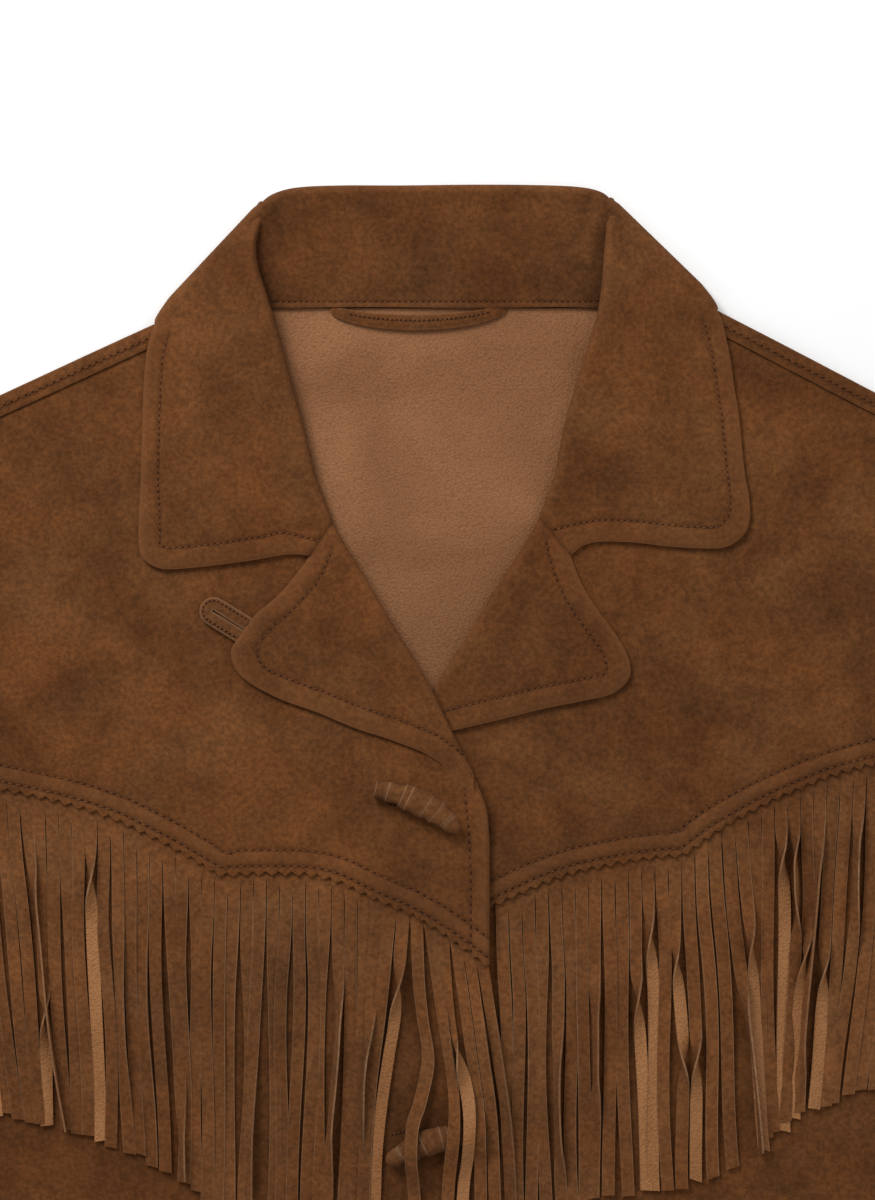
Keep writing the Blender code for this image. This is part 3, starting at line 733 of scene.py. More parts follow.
def make_yoke(side, name):
    edge = resample(EDGES[side], step=TOOTH / 4)
    run = run_along(edge)
    columns = edge[edge[:, 0] <= SIDE_REF + 0.1, 0]
    if side < 0:
        extra = np.array((-25.5, -24.8, -24.0))
        columns = np.unique(np.concatenate([columns, extra]))
    top = yoke_top(side)
    low_gaps = np.array((0.0, 0.9, 1.8, 2.7, 3.6, 4.5, 5.6, 7.2,
                         8.8, 9.9, 10.8, 11.7, 12.6, 13.6, 15.0, 17.5))
    top_gaps = np.array((8.0, 5.5, 3.6, 2.2, 1.2, 0.5, 0.0))
    middle = np.linspace(0, 1, 52)[1:-1]
    grid = np.zeros((len(columns), len(low_gaps) + len(middle) + len(top_gaps), 3))
    for i, column in enumerate(columns):
        here = float(meet(column, lambda u: edge_y(side, u)))
        high = float(meet(column, top))
        phase = np.interp(column, edge[:, 0], run) / TOOTH
        tooth = (abs((phase % 1.0) - 0.5) - 0.25) * 2 * TOOTH_DEPTH
        fade = 1 - np.minimum(low_gaps / 3.6, 1.0)
        low = here + low_gaps + tooth * fade
        y = np.concatenate([low, low[-1] + (high - top_gaps[0] - low[-1]) * middle, high - top_gaps])
        u = spread(column, y)
        grid[i, :, 0] = side * u
        grid[i, :, 1] = y
        grid[i, :, 2] = yoke_z(side, np.maximum(u, -25.5), y) - side_bend(side, u, y)
    rows = [gap_to(grid, line) for line in YOKE_ROWS[side]]
    nearest = np.minimum(*rows)
    between = bell(gap_to(grid, 0.5 * (resample(YOKE_ROWS[side][0], count=120)
                                       + resample(YOKE_ROWS[side][1], count=120))), 4.2)
    seam = grid[:, -1:, 1] - grid[..., 1]
    to_hem = gap_to(grid, EDGES[side] * (side, 1))
    at_shoulder = grid[..., :1, 0] ** 2 > 1e4
    z = -0.6 * bell(nearest, 1.2) + 0.35 * between - 0.4 * bell(to_hem, 4.0)
    z = z - 0.75 * bell(seam, 2.4) * at_shoulder
    # Painted shade in the rows of stitches and at the shoulder seam.
    seam_shade = 0.6 * bell(nearest, 1.0) + 0.3 * bell(seam - 1.8, 1.0)
    # Painted highlight on the raised welt between the rows.
    pale_edge_and_highlight = 0.35 * between
    if side < 0:
        placket = gap_to(grid, FRONT_ROW)
        z = z - 0.4 * bell(placket, 1.3)
        seam_shade = seam_shade + 0.4 * bell(placket, 1.0)
        front_edge = ramp(grid[..., 0], 17.0, 24.0) * ramp(grid[..., 1], -80.0, -95.0)
        # The turned front edge is paler: rubbed leather and painted highlight.
        pale_edge_and_highlight = pale_edge_and_highlight + 0.45 * front_edge
        z = z + 0.5 * bell(grid[..., 0] - 21.0, 3.0) * ramp(grid[..., 1], -70.0, -90.0)
        z = z - 1.0 * ramp(grid[..., 0], 23.6, 25.6) ** 2
    grid[..., 2] += z
    return sheet_piece(name, [(grid, {"seam_shade": seam_shade, "pale_edge_and_highlight": pale_edge_and_highlight})], (SUEDE, INSIDE, CUT_EDGE), SUEDE_WALL)


yoke_right = belongs(make_yoke(-1, "front_yoke_right"), "suede", "yoke_right")
yoke_left = belongs(make_yoke(1, "front_yoke_left"), "suede", "yoke_left")

# %% [markdown]
# ## Fringe
# A fringe is one strip of suede as wide as the yoke, slit from below into ribbons that stay joined at the
# top. Each ribbon here is a small grid about a centre line that leans, wavers and turns. Neighbours share
# their points above the slit, so the header stays in one piece. Where a ribbon turns over it shows its
# smooth tan side, and each has a pale edge where the knife went through. A few wander, and rise over the
# second toggle, which lies below them.

# %% Fringe
STRIP = 6.6                # width of one ribbon
STRIP_WALL = 0.9
HEADER = 12.0              # what the yoke hides
STRIP_LENGTH = 167.0
STRIP_STEPS = 40

Lean = namedtuple("Lean", "x swing")
LEANS = (                  # how far the end of a ribbon swings to the right
    Lean(-262, 20), Lean(-219, 15), Lean(-200, 9), Lean(-175, 5), Lean(-150, 6), Lean(-128, 1),
    Lean(-110, -2), Lean(-85, -3), Lean(-60, -4), Lean(-35, -6), Lean(-15, -6), Lean(2, 2), Lean(20, 9),
    Lean(28, 4), Lean(60, 1), Lean(90, 2), Lean(123, 3), Lean(142, 9), Lean(158, 8), Lean(172, 0),
    Lean(186, -7), Lean(200, -11), Lean(219, -13), Lean(262, -18),
)
Turn = namedtuple("Turn", "x start end angle back_from back_to sway")
NEVER = 999.0
TURNS = (                  # ribbons that twist: where, from, to, how far, and back again
    Turn(-207, 12, 60, 82, NEVER, NEVER, 9), Turn(-200, 84, 134, 176, NEVER, NEVER, -4),
    Turn(-176, 8, 62, 180, NEVER, NEVER, -2), Turn(-137, 110, 150, 70, NEVER, NEVER, 3),
    Turn(-52, 30, 76, 74, 120, 160, -2), Turn(-33, 40, 80, 84, 84, 140, -1),
    Turn(-17, 14, 60, 178, NEVER, NEVER, 0), Turn(-4, 30, 60, 30, 90, 120, 0),
    Turn(2.6, 36, 84, 178, NEVER, NEVER, 0), Turn(22, 18, 50, 24, 70, 120, 0),
    Turn(98, 40, 96, 178, NEVER, NEVER, 3), Turn(105, 10, 66, 176, NEVER, NEVER, 0),
    Turn(116, 30, 74, 168, 84, 128, 1), Turn(123, 78, 130, 178, NEVER, NEVER, -1),
    Turn(144, 60, 100, 84, NEVER, NEVER, 6), Turn(151, 38, 92, 176, NEVER, NEVER, 3),
    Turn(170, 6, 54, 176, NEVER, NEVER, 1), Turn(178, 10, 40, 110, 50, 90, -1),
    Turn(185, 58, 110, 176, NEVER, NEVER, -2), Turn(191, 14, 50, 76, 130, 160, -3),
    Turn(201, 74, 122, 174, NEVER, NEVER, -1), Turn(80, 40, 80, 74, 100, 140, -2),
    Turn(60, 60, 100, 62, 130, 160, 1), Turn(-92, 80, 140, 50, NEVER, NEVER, -2),
    Turn(-160, 30, 90, 35, 110, 160, 2), Turn(240, 60, 112, 176, NEVER, NEVER, 0),
    Turn(-236, 50, 104, 178, NEVER, NEVER, 1), Turn(214, 8, 40, 70, 60, 110, -2),
)
SLOTS = {-1: (-25.5, 262.0), 1: (29.0, 262.0)}
Way = namedtuple("Way", "x points")
WAYS = (                   # ribbons by the second toggle: how far each has wandered, down its length
    Way(-30.0, ((0, 0), (50, -3), (90, -7), (130, -10), (168, -11))),
    Way(-23.5, ((0, 0), (50, -5), (90, -10), (130, -13), (168, -14))),
    Way(-17.0, ((0, 0), (50, -4), (70, -7), (90, -10), (110, -12.5), (130, -14), (168, -15))),
    Way(-10.4, ((0, 0), (30, 1), (50, 3), (71, 5.8), (93, 1.6), (103, -1.9), (119, -2.8),
                (135, -1.5), (168, 1))),
    Way(-3.9, ((0, 0), (50, 7.0), (90, 12.4), (130, 9.5), (168, 8))),
    Way(2.6, ((0, 0), (30, 2), (50, 4.6), (70, 9.9), (88, 13.3), (110, 12.5), (130, 10.2), (168, 9))),
    Way(9.2, ((0, 0), (50, 7), (90, 11.6), (168, 13))),
    Way(15.7, ((0, 0), (50, 7), (90, 11.7), (168, 14))),
    Way(22.2, ((0, 0), (50, 8), (90, 13), (168, 16))),
)
Barrel = namedtuple("Barrel", "x y turn height reach")
BARREL = Barrel(-3.5, -271.0, math.radians(17.0), 9.2, 25.0)   # the toggle that some of them cross


def strip_turn(x):
    for turn in TURNS:
        if abs(turn.x - x) <= STRIP / 2:
            return turn
    return Turn(x, NEVER, NEVER, 0.0, NEVER, NEVER, 0.0)


def make_fringe(side, name):
    chance = random.Random(71 + side)
    inner, outer = SLOTS[side]
    count = int(round((outer - inner) / STRIP))
    cuts = inner + (outer - inner) * np.arange(count + 1) / count
    slits = [chance.uniform(1.5, 9.0) for _ in cuts]
    hanging = np.linspace(0, 1, STRIP_STEPS)[1:] ** 1.15 * STRIP_LENGTH
    reach = np.concatenate([np.linspace(0, HEADER, 4), HEADER + hanging])
    grids = []
    swings = np.array(LEANS)
    for i in range(count):
        middle_u = (cuts[i] + cuts[i + 1]) / 2
        x0 = side * middle_u
        turn = strip_turn(x0)
        length = chance.uniform(0.985, 1.01)
        down = np.where(reach > HEADER, HEADER + (reach - HEADER) * length, reach)
        hang = np.maximum(0.0, down - HEADER)
        share = hang / STRIP_LENGTH
        swing = np.interp(x0, swings[:, 0], swings[:, 1]) + chance.uniform(-1.1, 1.1) + turn.sway
        waver = chance.uniform(0.5, 1.5) * np.sin(share * chance.uniform(4.0, 8.0) + chance.uniform(0, 6.3))
        waver = (waver - waver[4]) * ramp(share, 0.03, 0.35)
        shift = swing * share ** 1.25 + waver
        way = [way for way in WAYS if side < 0 and abs(way.x - x0) < STRIP / 2]
        if way:
            wander = spline(way[0].points)
            shift = np.interp(hang, wander[:, 0], wander[:, 1])
        roll = math.radians(turn.angle) * (ramp(hang, turn.start, turn.end)
                                           - ramp(hang, turn.back_from, turn.back_to))
        roll = roll + math.radians(chance.uniform(-9, 9)) * ramp(share, 0.03, 0.2) * (roll < 1.0)
        roll = roll + math.radians(6) * np.sin(share * 9 + chance.uniform(0, 6)) * ramp(share, 0.1, 0.4)
        slit_left, slit_right = (slits[i], slits[i + 1])[::side]
        open_left = ramp(hang, slit_left, slit_left + 4.0)
        open_right = ramp(hang, slit_right, slit_right + 4.0)
        top = edge_y(side, middle_u)
        y = top + HEADER - down
        lift = chance.uniform(0.0, 0.8) * ramp(share, 0.02, 0.25)
        cup = chance.uniform(-0.35, 0.5)
        grid = np.zeros((5, len(down), 3))
        left, right = sorted((side * cuts[i], side * cuts[i + 1]))
        for j, across in enumerate((-1.0, -0.85, 0.0, 0.85, 1.0)):
            wide = STRIP / 2 - 0.22 * (open_left if across < 0 else open_right)
            flat = across * wide
            cut_y = edge_y(side, side * ((left + right) / 2 + across * (right - left) / 2))
            slant = (cut_y - top) * (1 - ramp(share, 0.1, 0.9) * 0.55)
            grid[j, :, 0] = x0 + shift + flat * np.cos(roll)
            grid[j, :, 1] = y + slant
            grid[j, :, 2] = flat * np.sin(roll) + cup * (1 - across**2) * ramp(share, 0.05, 0.2)
        ground_u = np.clip(side * grid[2, :, 0], inner, None)
        ground = front_z(side, ground_u, grid[2, :, 1]) + LAYER
        if side < 0:
            past = ramp(grid[2, :, 0], 24.5, 32.0)
            ground = ground + past * (level(3.2, 0.0) - ground)
        stand = abs(np.sin(roll)) * (STRIP / 2) + lift + 0.35 * (abs(np.sin(roll)) > 0.6)
        if way:
            from_x = grid[2, :, 0] - BARREL.x
            from_y = grid[2, :, 1] - BARREL.y
            barrel = from_x * math.cos(BARREL.turn) + from_y * math.sin(BARREL.turn)
            beside = from_y * math.cos(BARREL.turn) - from_x * math.sin(BARREL.turn)
            climb = BARREL.height * np.cos(math.pi / 2 * np.minimum(abs(beside) / BARREL.reach, 1)) ** 2
            stand = stand + climb * ramp(barrel, -19.0, -14.0) * ramp(barrel, 31.0, 24.0)
            stand = stand + 1.1 * (i % 2) * ramp(share, 0.08, 0.25)
        grid[:, :, 2] += (ground + stand)[None, :]
        joined = hang <= 1.5
        for j, cut in ((0, left), (4, right)):
            cut_y = edge_y(side, side * cut)
            grid[j, joined, 0] = cut
            grid[j, joined, 1] = (cut_y + HEADER - down)[joined]
            grid[j, joined, 2] = (front_z(side, side * cut, grid[j, :, 1]) + LAYER)[joined]
        tone = chance.uniform(-0.07, 0.06)
        pale = (chance.uniform(0.0, 0.45), 0.0, 0.0, 0.0, chance.uniform(0.1, 0.75))
        edge_pale = np.array(pale)[:, None] * ramp(share, 0.03, 0.1)
        # A random tone for each strip, and painted shade just below the yoke's edge.
        shade = tone * np.ones((5, 1)) - 0.1 * bell(hang, 5.0)
        grids.append((grid, {"pale_edge_and_highlight": edge_pale, "shade": shade}))
    return sheet_piece(name, grids, (FRINGE, STRIP_BACK, CUT_EDGE), STRIP_WALL)


fringe_right = belongs(make_fringe(-1, "fringe_strips_right"), "fringe", "fringe_right")
fringe_left = belongs(make_fringe(1, "fringe_strips_left"), "fringe", "fringe_left")

# %% [markdown]
# ## Collar and lapels
# The collar is one long strip. Across the back of the neck it stands up, rolls over and falls behind the
# back; at each side the fall swings forward and lies on the yoke as a leaf with a point. Below the notch
# the front edge rolls open as a lapel. Each leaf and lapel is laid out in sections: from its roll, across
# to the outer edge, fanned round the point like the ribs of a leaf.

# %% Tables of the folds
Fold = namedtuple("Fold", "roll_u roll_y edge_u edge_y rise")

LEAF_RIGHT = (
    Fold(86.0, 196.6, 140.6, 138.5, 0.2), Fold(88.4, 190, 143.0, 132.5, 2.4),
    Fold(90.6, 183, 145.2, 123, 4.8),
    Fold(91.6, 176, 146.6, 109, 6.0), Fold(90.2, 165, 147.3, 94, 6.6), Fold(85.4, 150, 147.8, 76, 6.5),
    Fold(79.5, 130, 148.3, 58, 6.0), Fold(72.4, 103, 149, 42, 5.2), Fold(66.5, 81, 149.2, 29, 4.4),
    Fold(62.6, 64, 147.4, 21.5, 3.8), Fold(60.6, 58, 141.5, 17, 3.5), Fold(59.2, 54, 133, 15.6, 3.2),
    Fold(58, 51, 111, 17.6, 3.0), Fold(56.8, 48, 90, 20.5, 2.6), Fold(55.4, 44, 75, 23, 2.2),
    Fold(53.2, 38.6, 63.6, 22.4, 1.6),
)
LEAF_LEFT = (
    Fold(84.6, 198.4, 139.2, 145.5, 0.2), Fold(85.4, 191, 142, 139.5, 2.4), Fold(85, 183, 144.2, 129.5, 4.8),
    Fold(84.2, 173, 146.4, 119, 6.0), Fold(83.2, 160, 148.3, 106, 6.6), Fold(81, 144, 150.7, 92, 6.5),
    Fold(76.5, 128, 152.2, 76, 6.0), Fold(70.5, 108, 153.6, 63, 5.2), Fold(65, 90, 155.6, 52, 4.6),
    Fold(62, 75, 156, 41, 4.0), Fold(60, 64, 153.2, 33, 3.7), Fold(58.4, 59, 145, 27, 3.5),
    Fold(57, 55, 135, 26, 3.2), Fold(55.6, 52, 116, 27, 3.0), Fold(54.6, 49, 98, 29, 2.6),
    Fold(53.8, 46.5, 82, 29.4, 2.3), Fold(53, 44.5, 73, 27.5, 2.0), Fold(51.8, 40.8, 66.8, 22.8, 1.6),
)
LAPEL_RIGHT = (
    Fold(53, 38, 63.4, 21.6, 1.6), Fold(50.5, 33, 70, 13.6, 2.6), Fold(47, 27, 80, 2, 3.4),
    Fold(42, 19, 91, -7.4, 3.6), Fold(37, 11, 100, -20, 3.4), Fold(33.5, 5, 103, -25.5, 3.2),
    Fold(30, -1, 101, -34, 3.0), Fold(26, -8, 93.5, -41.5, 2.8), Fold(21.5, -15.5, 78, -49.6, 2.6),
    Fold(16, -24.5, 60, -56, 2.4), Fold(10, -34, 42, -63.4, 2.2), Fold(4.4, -44, 22, -70, 2.0),
    Fold(-1, -55, 6, -76.5, 1.8), Fold(-7, -67.5, -5, -84.5, 1.5), Fold(-13, -79, -13.4, -94, 1.0),
    Fold(-17.5, -88, -19, -98.6, 0.5),
)
LAPEL_LEFT = (
    Fold(51.6, 40.2, 66.6, 22, 1.6), Fold(49.5, 36, 69, 15, 2.6), Fold(46, 30, 73, 6, 3.4),
    Fold(41, 22, 80, -5, 3.6), Fold(36.5, 15, 87, -14.5, 3.4), Fold(32.5, 8.5, 92.5, -23, 3.2),
    Fold(29, 3, 96, -32, 3.0), Fold(25.6, -2.5, 95.4, -39.5, 2.8), Fold(21, -10, 87.5, -46.6, 2.6),
    Fold(16, -18, 74, -50, 2.4), Fold(11, -26, 54, -54, 2.2), Fold(7, -32.5, 34, -59, 1.4),
    Fold(3, -39, 15, -63.5, 0.6), Fold(-1, -46, 3, -66.5, 0.2), Fold(-3, -50, -5, -68.5, 0.0),
)
EDGE_ROW = 10.4            # the row of stitches runs this far inside the edge
ROLL_ARC = 9               # points round the roll
ROLL_REACH = 2.8


def on_yoke(side, u, y):
    return yoke_z(side, u, y) + (SUEDE_WALL + DOUBLE_WALL) / 2 + REST_GAP


def fan(folds, stations):
    """Evenly spaced sections between the folds of a table, by the way their outer ends go."""
    dense = spline(np.array(folds), steps=24)
    run = run_along(dense[:, 2:4]) + 0.9 * run_along(dense[:, 0:2])
    wanted = np.linspace(0, run[-1], stations)
    return np.stack([np.interp(wanted, run, dense[:, k]) for k in range(dense.shape[1])], axis=1)


def turned_grid(side, folds, stations, across):
    """A leaf or a lapel: round its roll, then over the yoke to the outer edge."""
    sections = fan(folds, stations)
    grid = np.zeros((stations, ROLL_ARC + across, 3))
    angles = np.radians(np.linspace(-78, 90, ROLL_ARC))
    for i, (roll_u, roll_y, edge_u, edge_y_, rise) in enumerate(sections):
        run = np.array((edge_u - roll_u, edge_y_ - roll_y))
        length = np.hypot(*run)
        reach = min(ROLL_REACH, 0.22 * length)
        top = float(on_yoke(side, roll_u, roll_y)) + rise
        low = float(yoke_z(side, roll_u, roll_y)) + 0.9
        half = (top - low) / 2
        part = reach * (1 - np.cos(angles)) / length
        grid[i, :ROLL_ARC, 0] = roll_u + run[0] * part
        grid[i, :ROLL_ARC, 1] = roll_y + run[1] * part
        grid[i, :ROLL_ARC, 2] = low + half + half * np.sin(angles)
        share = np.linspace(0, 1, across + 1)[1:] ** 0.97
        part = (reach + (length - reach) * share) / length
        u = roll_u + run[0] * part
        y = roll_y + run[1] * part
        fall = ((1 + np.cos(math.pi * share)) / 2) ** 1.2
        grid[i, ROLL_ARC:, 0] = u
        grid[i, ROLL_ARC:, 1] = y
        grid[i, ROLL_ARC:, 2] = on_yoke(side, u, y) + rise * fall
    grid[..., 0] *= side
    return grid, sections


def inner_row(outline, start_trim, end_trim, side):
    """The row of stitches inside an outline, cut short at both ends."""
    row = offset(resample(outline, step=1.5), -side * EDGE_ROW)
    keep = gap_to(row[None, :, :], outline)[0] > EDGE_ROW - 0.25
    row = resample(row[keep], step=1.5)
    run = run_along(row)
    return row[(run >= start_trim) & (run <= run[-1] - end_trim)]


ROWS = {}


def sew_down(grid, outline, row, rim_width=2.2):
    """Sinks a row of stitches, swells the welt outside it and rounds the edge."""
    to_row = gap_to(grid, row)
    to_edge = gap_to(grid, outline)
    welt = bell(to_edge - 0.5 * EDGE_ROW, 4.0)
    grid[..., 2] += 0.45 * welt - 0.6 * bell(to_row, 1.3) - 0.7 * bell(to_edge, 1.3)
    # Pale edge: rubbed leather and painted highlight, with painted highlight on the welt.
    pale_edge_and_highlight = 0.75 * bell(to_edge, rim_width) + 0.16 * welt
    # Painted shade in the row of stitches.
    seam_shade = 0.55 * bell(to_row, 1.0)
    return pale_edge_and_highlight, seam_shade


# %% Lapels
def make_lapel(side, folds, name, tuck):
    grid, sections = turned_grid(side, folds, 120, 52)
    outline = sections[:, 2:4] * (side, 1)
    key = "lapel_right" if side < 0 else "lapel_left"
    gorge = (-52.6, 25.0) if side < 0 else (53.6, 31.0)
    row = inner_row(outline, 3.0, 6.0 if side < 0 else 10.0, side)
    ROWS[key] = resample(spline(np.vstack([gorge, row[::8], row[-1:]])), step=1.5)
    pale_edge_and_highlight, seam_shade = sew_down(grid, outline, ROWS[key])
    roll_line = sections[:, 0:2] * (side, 1)
    # Painted highlight along the roll.
    pale_edge_and_highlight = np.maximum(pale_edge_and_highlight, 0.25 * bell(gap_to(grid, roll_line), 2.2))
    first = gap_to(grid, np.array((sections[0, 0:2], sections[0, 2:4])) * (side, 1))
    grid[..., 2] -= 0.9 * bell(first, 1.6)
    # Painted shade in the seam where the lapel meets the leaf.
    seam_shade = seam_shade + 0.5 * bell(first, 1.0)
    if not tuck:
        grid[..., 2] -= 2.6 * ramp(grid[..., 1], -66.0, -90.0)
    if tuck:
        under = ramp(grid[..., 0], 14.0, 1.0) * ramp(grid[..., 1], -36.0, -50.0)
        lie = level(1.0, -60.0) + 1.75
        grid[..., 2] = grid[..., 2] * (1 - under) + lie * under
    return sheet_piece(name, [(grid, {"pale_edge_and_highlight": pale_edge_and_highlight, "seam_shade": seam_shade})], (SUEDE, SUEDE, SUEDE),
                       DOUBLE_WALL, rounded=0.8)


lapel_left = make_lapel(1, LAPEL_LEFT, "lapel_facing_left", True)
lapel_right = make_lapel(-1, LAPEL_RIGHT, "lapel_facing_right", False)
belongs(lapel_right, "suede", "lapel_right")
belongs(lapel_left, "suede", "lapel_left")

# %% Collar
BEHIND_Z = 1.5
WRAP_REACH = 12.0
Rim = namedtuple("Rim", "seam_x seam_y roll_x roll_y edge_x edge_y")
COLLAR_BACK = (            # stand, roll and fall across the back of the neck
    Rim(-97, 141, -93, 192.6, -138, 140), Rim(-91, 145, -87.6, 198.2, -134, 139),
    Rim(-83, 146.4, -81.5, 202.6, -124, 137), Rim(-70, 146.6, -70, 205.6, -104, 134),
    Rim(-50, 146.8, -48, 206.6, -76, 133), Rim(-18, 146.8, -18, 206.6, -28, 132),
    Rim(18, 146.6, 18, 207.0, 28, 132), Rim(50, 146.8, 48, 206.8, 76, 133),
    Rim(68, 146.8, 70, 205.9, 104, 134), Rim(81, 146.4, 81.5, 203.4, 122, 138),
    Rim(88, 145, 87.4, 198.4, 132, 142), Rim(94, 141, 94, 191.6, 136, 144),
)
Pucker = namedtuple("Pucker", "x1 y1 x2 y2 width height")
PUCKERS = (                # small pulls of the stand beside its rolls
    Pucker(-86, 197, -80, 180, 2.4, 0.8), Pucker(-80, 200, -74, 172, 3.0, -0.7),
    Pucker(82, 199, 76, 168, 2.6, 0.9), Pucker(77, 202, 70, 178, 3.4, -0.7),
    Pucker(-40, 196, -6, 190, 7.0, 0.5), Pucker(20, 188, 58, 194, 8.0, 0.5),
    Pucker(-66, 178, -30, 168, 9.0, -0.5), Pucker(8, 170, 44, 162, 9.0, -0.4),
)


def make_collar_back():
    rims = resample(spline(COLLAR_BACK, steps=14), count=150)
    stand = np.concatenate([np.linspace(0, 0.12, 12), np.linspace(0.12, 1, 40)[1:]])
    angles = np.radians(np.linspace(0, 180, 15))
    fall = np.linspace(0, 1, 26)[1:]
    grid = np.zeros((len(rims), len(stand) + len(angles) + len(fall) - 1, 3))
    for i, (seam_x, seam_y, roll_x, roll_y, edge_x, edge_y_) in enumerate(rims):
        up = np.array((roll_x - seam_x, roll_y - seam_y))
        rise = np.hypot(*up)
        down = np.array((edge_x - roll_x, edge_y_ - roll_y))
        drop = np.hypot(*down)
        radius = 3.6
        top_z = BEHIND_Z + 2 * radius
        part = stand * (rise - radius) / rise
        bulge = 0.9 * np.sin(math.pi * stand)
        line = [np.stack([seam_x + up[0] * part, seam_y + up[1] * part,
                          4.6 + (top_z - 4.6) * stand**1.3 + bulge], axis=1)]
        inset = radius * (1 - np.sin(angles))
        front = angles <= math.pi / 2
        x = np.where(front, roll_x - up[0] / rise * inset, roll_x + down[0] / drop * inset)
        y = np.where(front, roll_y - up[1] / rise * inset, roll_y + down[1] / drop * inset)
        z = BEHIND_Z + radius + radius * np.cos(angles)
        line.append(np.stack([x, y, z], axis=1)[1:])
        start = line[-1][-1]
        line.append(start + (np.array((edge_x, edge_y_, BEHIND_Z)) - start) * fall[:, None])
        grid[i] = np.concatenate(line)
    inside = np.arange(grid.shape[1]) < len(stand)
    for pucker in PUCKERS:
        gap = segment_gap(grid[..., 0], grid[..., 1], pucker)
        grid[..., 2] += pucker.height * bell(gap, pucker.width) * inside
    seam_gap = grid[..., 1] - NECK_Y
    grid[..., 2] += inside * (0.9 * bell(seam_gap - 1.0, 0.9) - 0.4 * bell(seam_gap - 3.0, 0.7))
    # Painted shade in the neck seam's row of stitches.
    seam_shade = inside * 0.55 * bell(seam_gap - 3.0, 0.8)
    # Painted highlight on the ridge of the neck seam and along the roll.
    pale_edge_and_highlight = inside * 0.3 * bell(seam_gap - 0.9, 0.8) + 0.25 * bell(gap_to(grid, rims[:, 2:4]), 2.5)
    near_roll = np.minimum(*[gap_to(grid, spline([fold[:2] for fold in folds[:8]]) * (side, 1))
                             for side, folds in ((-1, LEAF_RIGHT), (1, LEAF_LEFT))])
    corner = ramp(grid[..., 1], 180.0, 196.0)
    grid[..., 2] += inside * 2.2 * bell(near_roll, 6.0) * corner
    # Painted shade: the stand is darkened all over, more beside the leaf rolls and just above the neck seam.
    shade = inside * (-0.11 - 0.30 * bell(near_roll, 9.0) * (1 - corner) - 0.08 * bell(seam_gap - 8.0, 9.0))
    return grid, {"seam_shade": seam_shade, "pale_edge_and_highlight": pale_edge_and_highlight, "shade": shade}


def make_leaf(side, folds, key):
    grid, sections = turned_grid(side, folds, 150, 66)
    outline = sections[:, 2:4] * (side, 1)
    row = inner_row(outline, 0.5, 0.0, side)
    row[:, 0] += side * 2.2 * ramp(row[:, 1], 38.0, 60.0)
    end = (-55.2, 28.4) if side < 0 else (57.6, 35.0)
    ROWS[key] = resample(spline(np.vstack([row[:-8:6], end])), step=1.5)
    pale_edge_and_highlight, seam_shade = sew_down(grid, outline, ROWS[key])
    roll_line = sections[:, 0:2] * (side, 1)
    # Painted highlight along the roll.
    pale_edge_and_highlight = np.maximum(pale_edge_and_highlight, 0.3 * bell(gap_to(grid, roll_line), 2.4))
    last = gap_to(grid, np.array((sections[-1, 0:2], sections[-1, 2:4])) * (side, 1))
    grid[..., 2] -= 0.7 * bell(last, 1.5)
    # Painted shade in the seam where the leaf meets the lapel.
    seam_shade = seam_shade + 0.45 * bell(last, 0.9)
    first = grid[0].copy()
    edge_dir = first[-1, :2] - first[ROLL_ARC, :2]
    out = np.array((-edge_dir[1], edge_dir[0])) / np.hypot(*edge_dir)
    out *= np.sign(out[1])
    half = (first[:, 2] - BEHIND_Z) / 2
    wrap = []
    for share in np.linspace(1, 0.15, 5):
        behind = first[:, :2] - WRAP_REACH * share * out
        wrap.append(np.column_stack([behind, np.full(len(first), BEHIND_Z)]))
    along = np.linalg.norm(first[:, :2] - first[-1, :2], axis=1)
    from_tip = np.linalg.norm(first[:, :2] - first[0, :2], axis=1)
    taper = 3.4 * np.sqrt(np.clip(along / 14.0, 0, 1)) * ramp(from_tip, -9.0, 3.0)
    for angle in np.radians(np.linspace(-90, 75, 10)):
        round_x = first[:, :2] + (taper * math.cos(angle))[:, None] * out
        wrap.append(np.column_stack([round_x, BEHIND_Z + half + half * math.sin(angle)]))
    grid = np.concatenate([np.array(wrap), grid])
    pad = ((len(wrap), 0), (0, 0))
    pale_edge_and_highlight = np.pad(pale_edge_and_highlight, pad)
    # Painted highlight on the top of the round where the leaf tucks behind.
    pale_edge_and_highlight[len(wrap) - 3:len(wrap) + 1] += 0.25
    return grid, {"pale_edge_and_highlight": pale_edge_and_highlight, "seam_shade": np.pad(seam_shade, pad)}


LEAVES = [make_leaf(-1, LEAF_RIGHT, "leaf_right"), make_leaf(1, LEAF_LEFT, "leaf_left")]
collar = sheet_piece("collar_leather", [make_collar_back(), *LEAVES], (SUEDE, SUEDE, SUEDE),
                     DOUBLE_WALL, rounded=0.8)
belongs(collar, "suede", "collar")

# %% [markdown]
# ## Sleeves
# Each sleeve is a tube laid flat: two layers with a fold along the top and another under the arm, open at
# the armhole and at the cuff. Creases run across it at the elbow and fan out below the armhole.

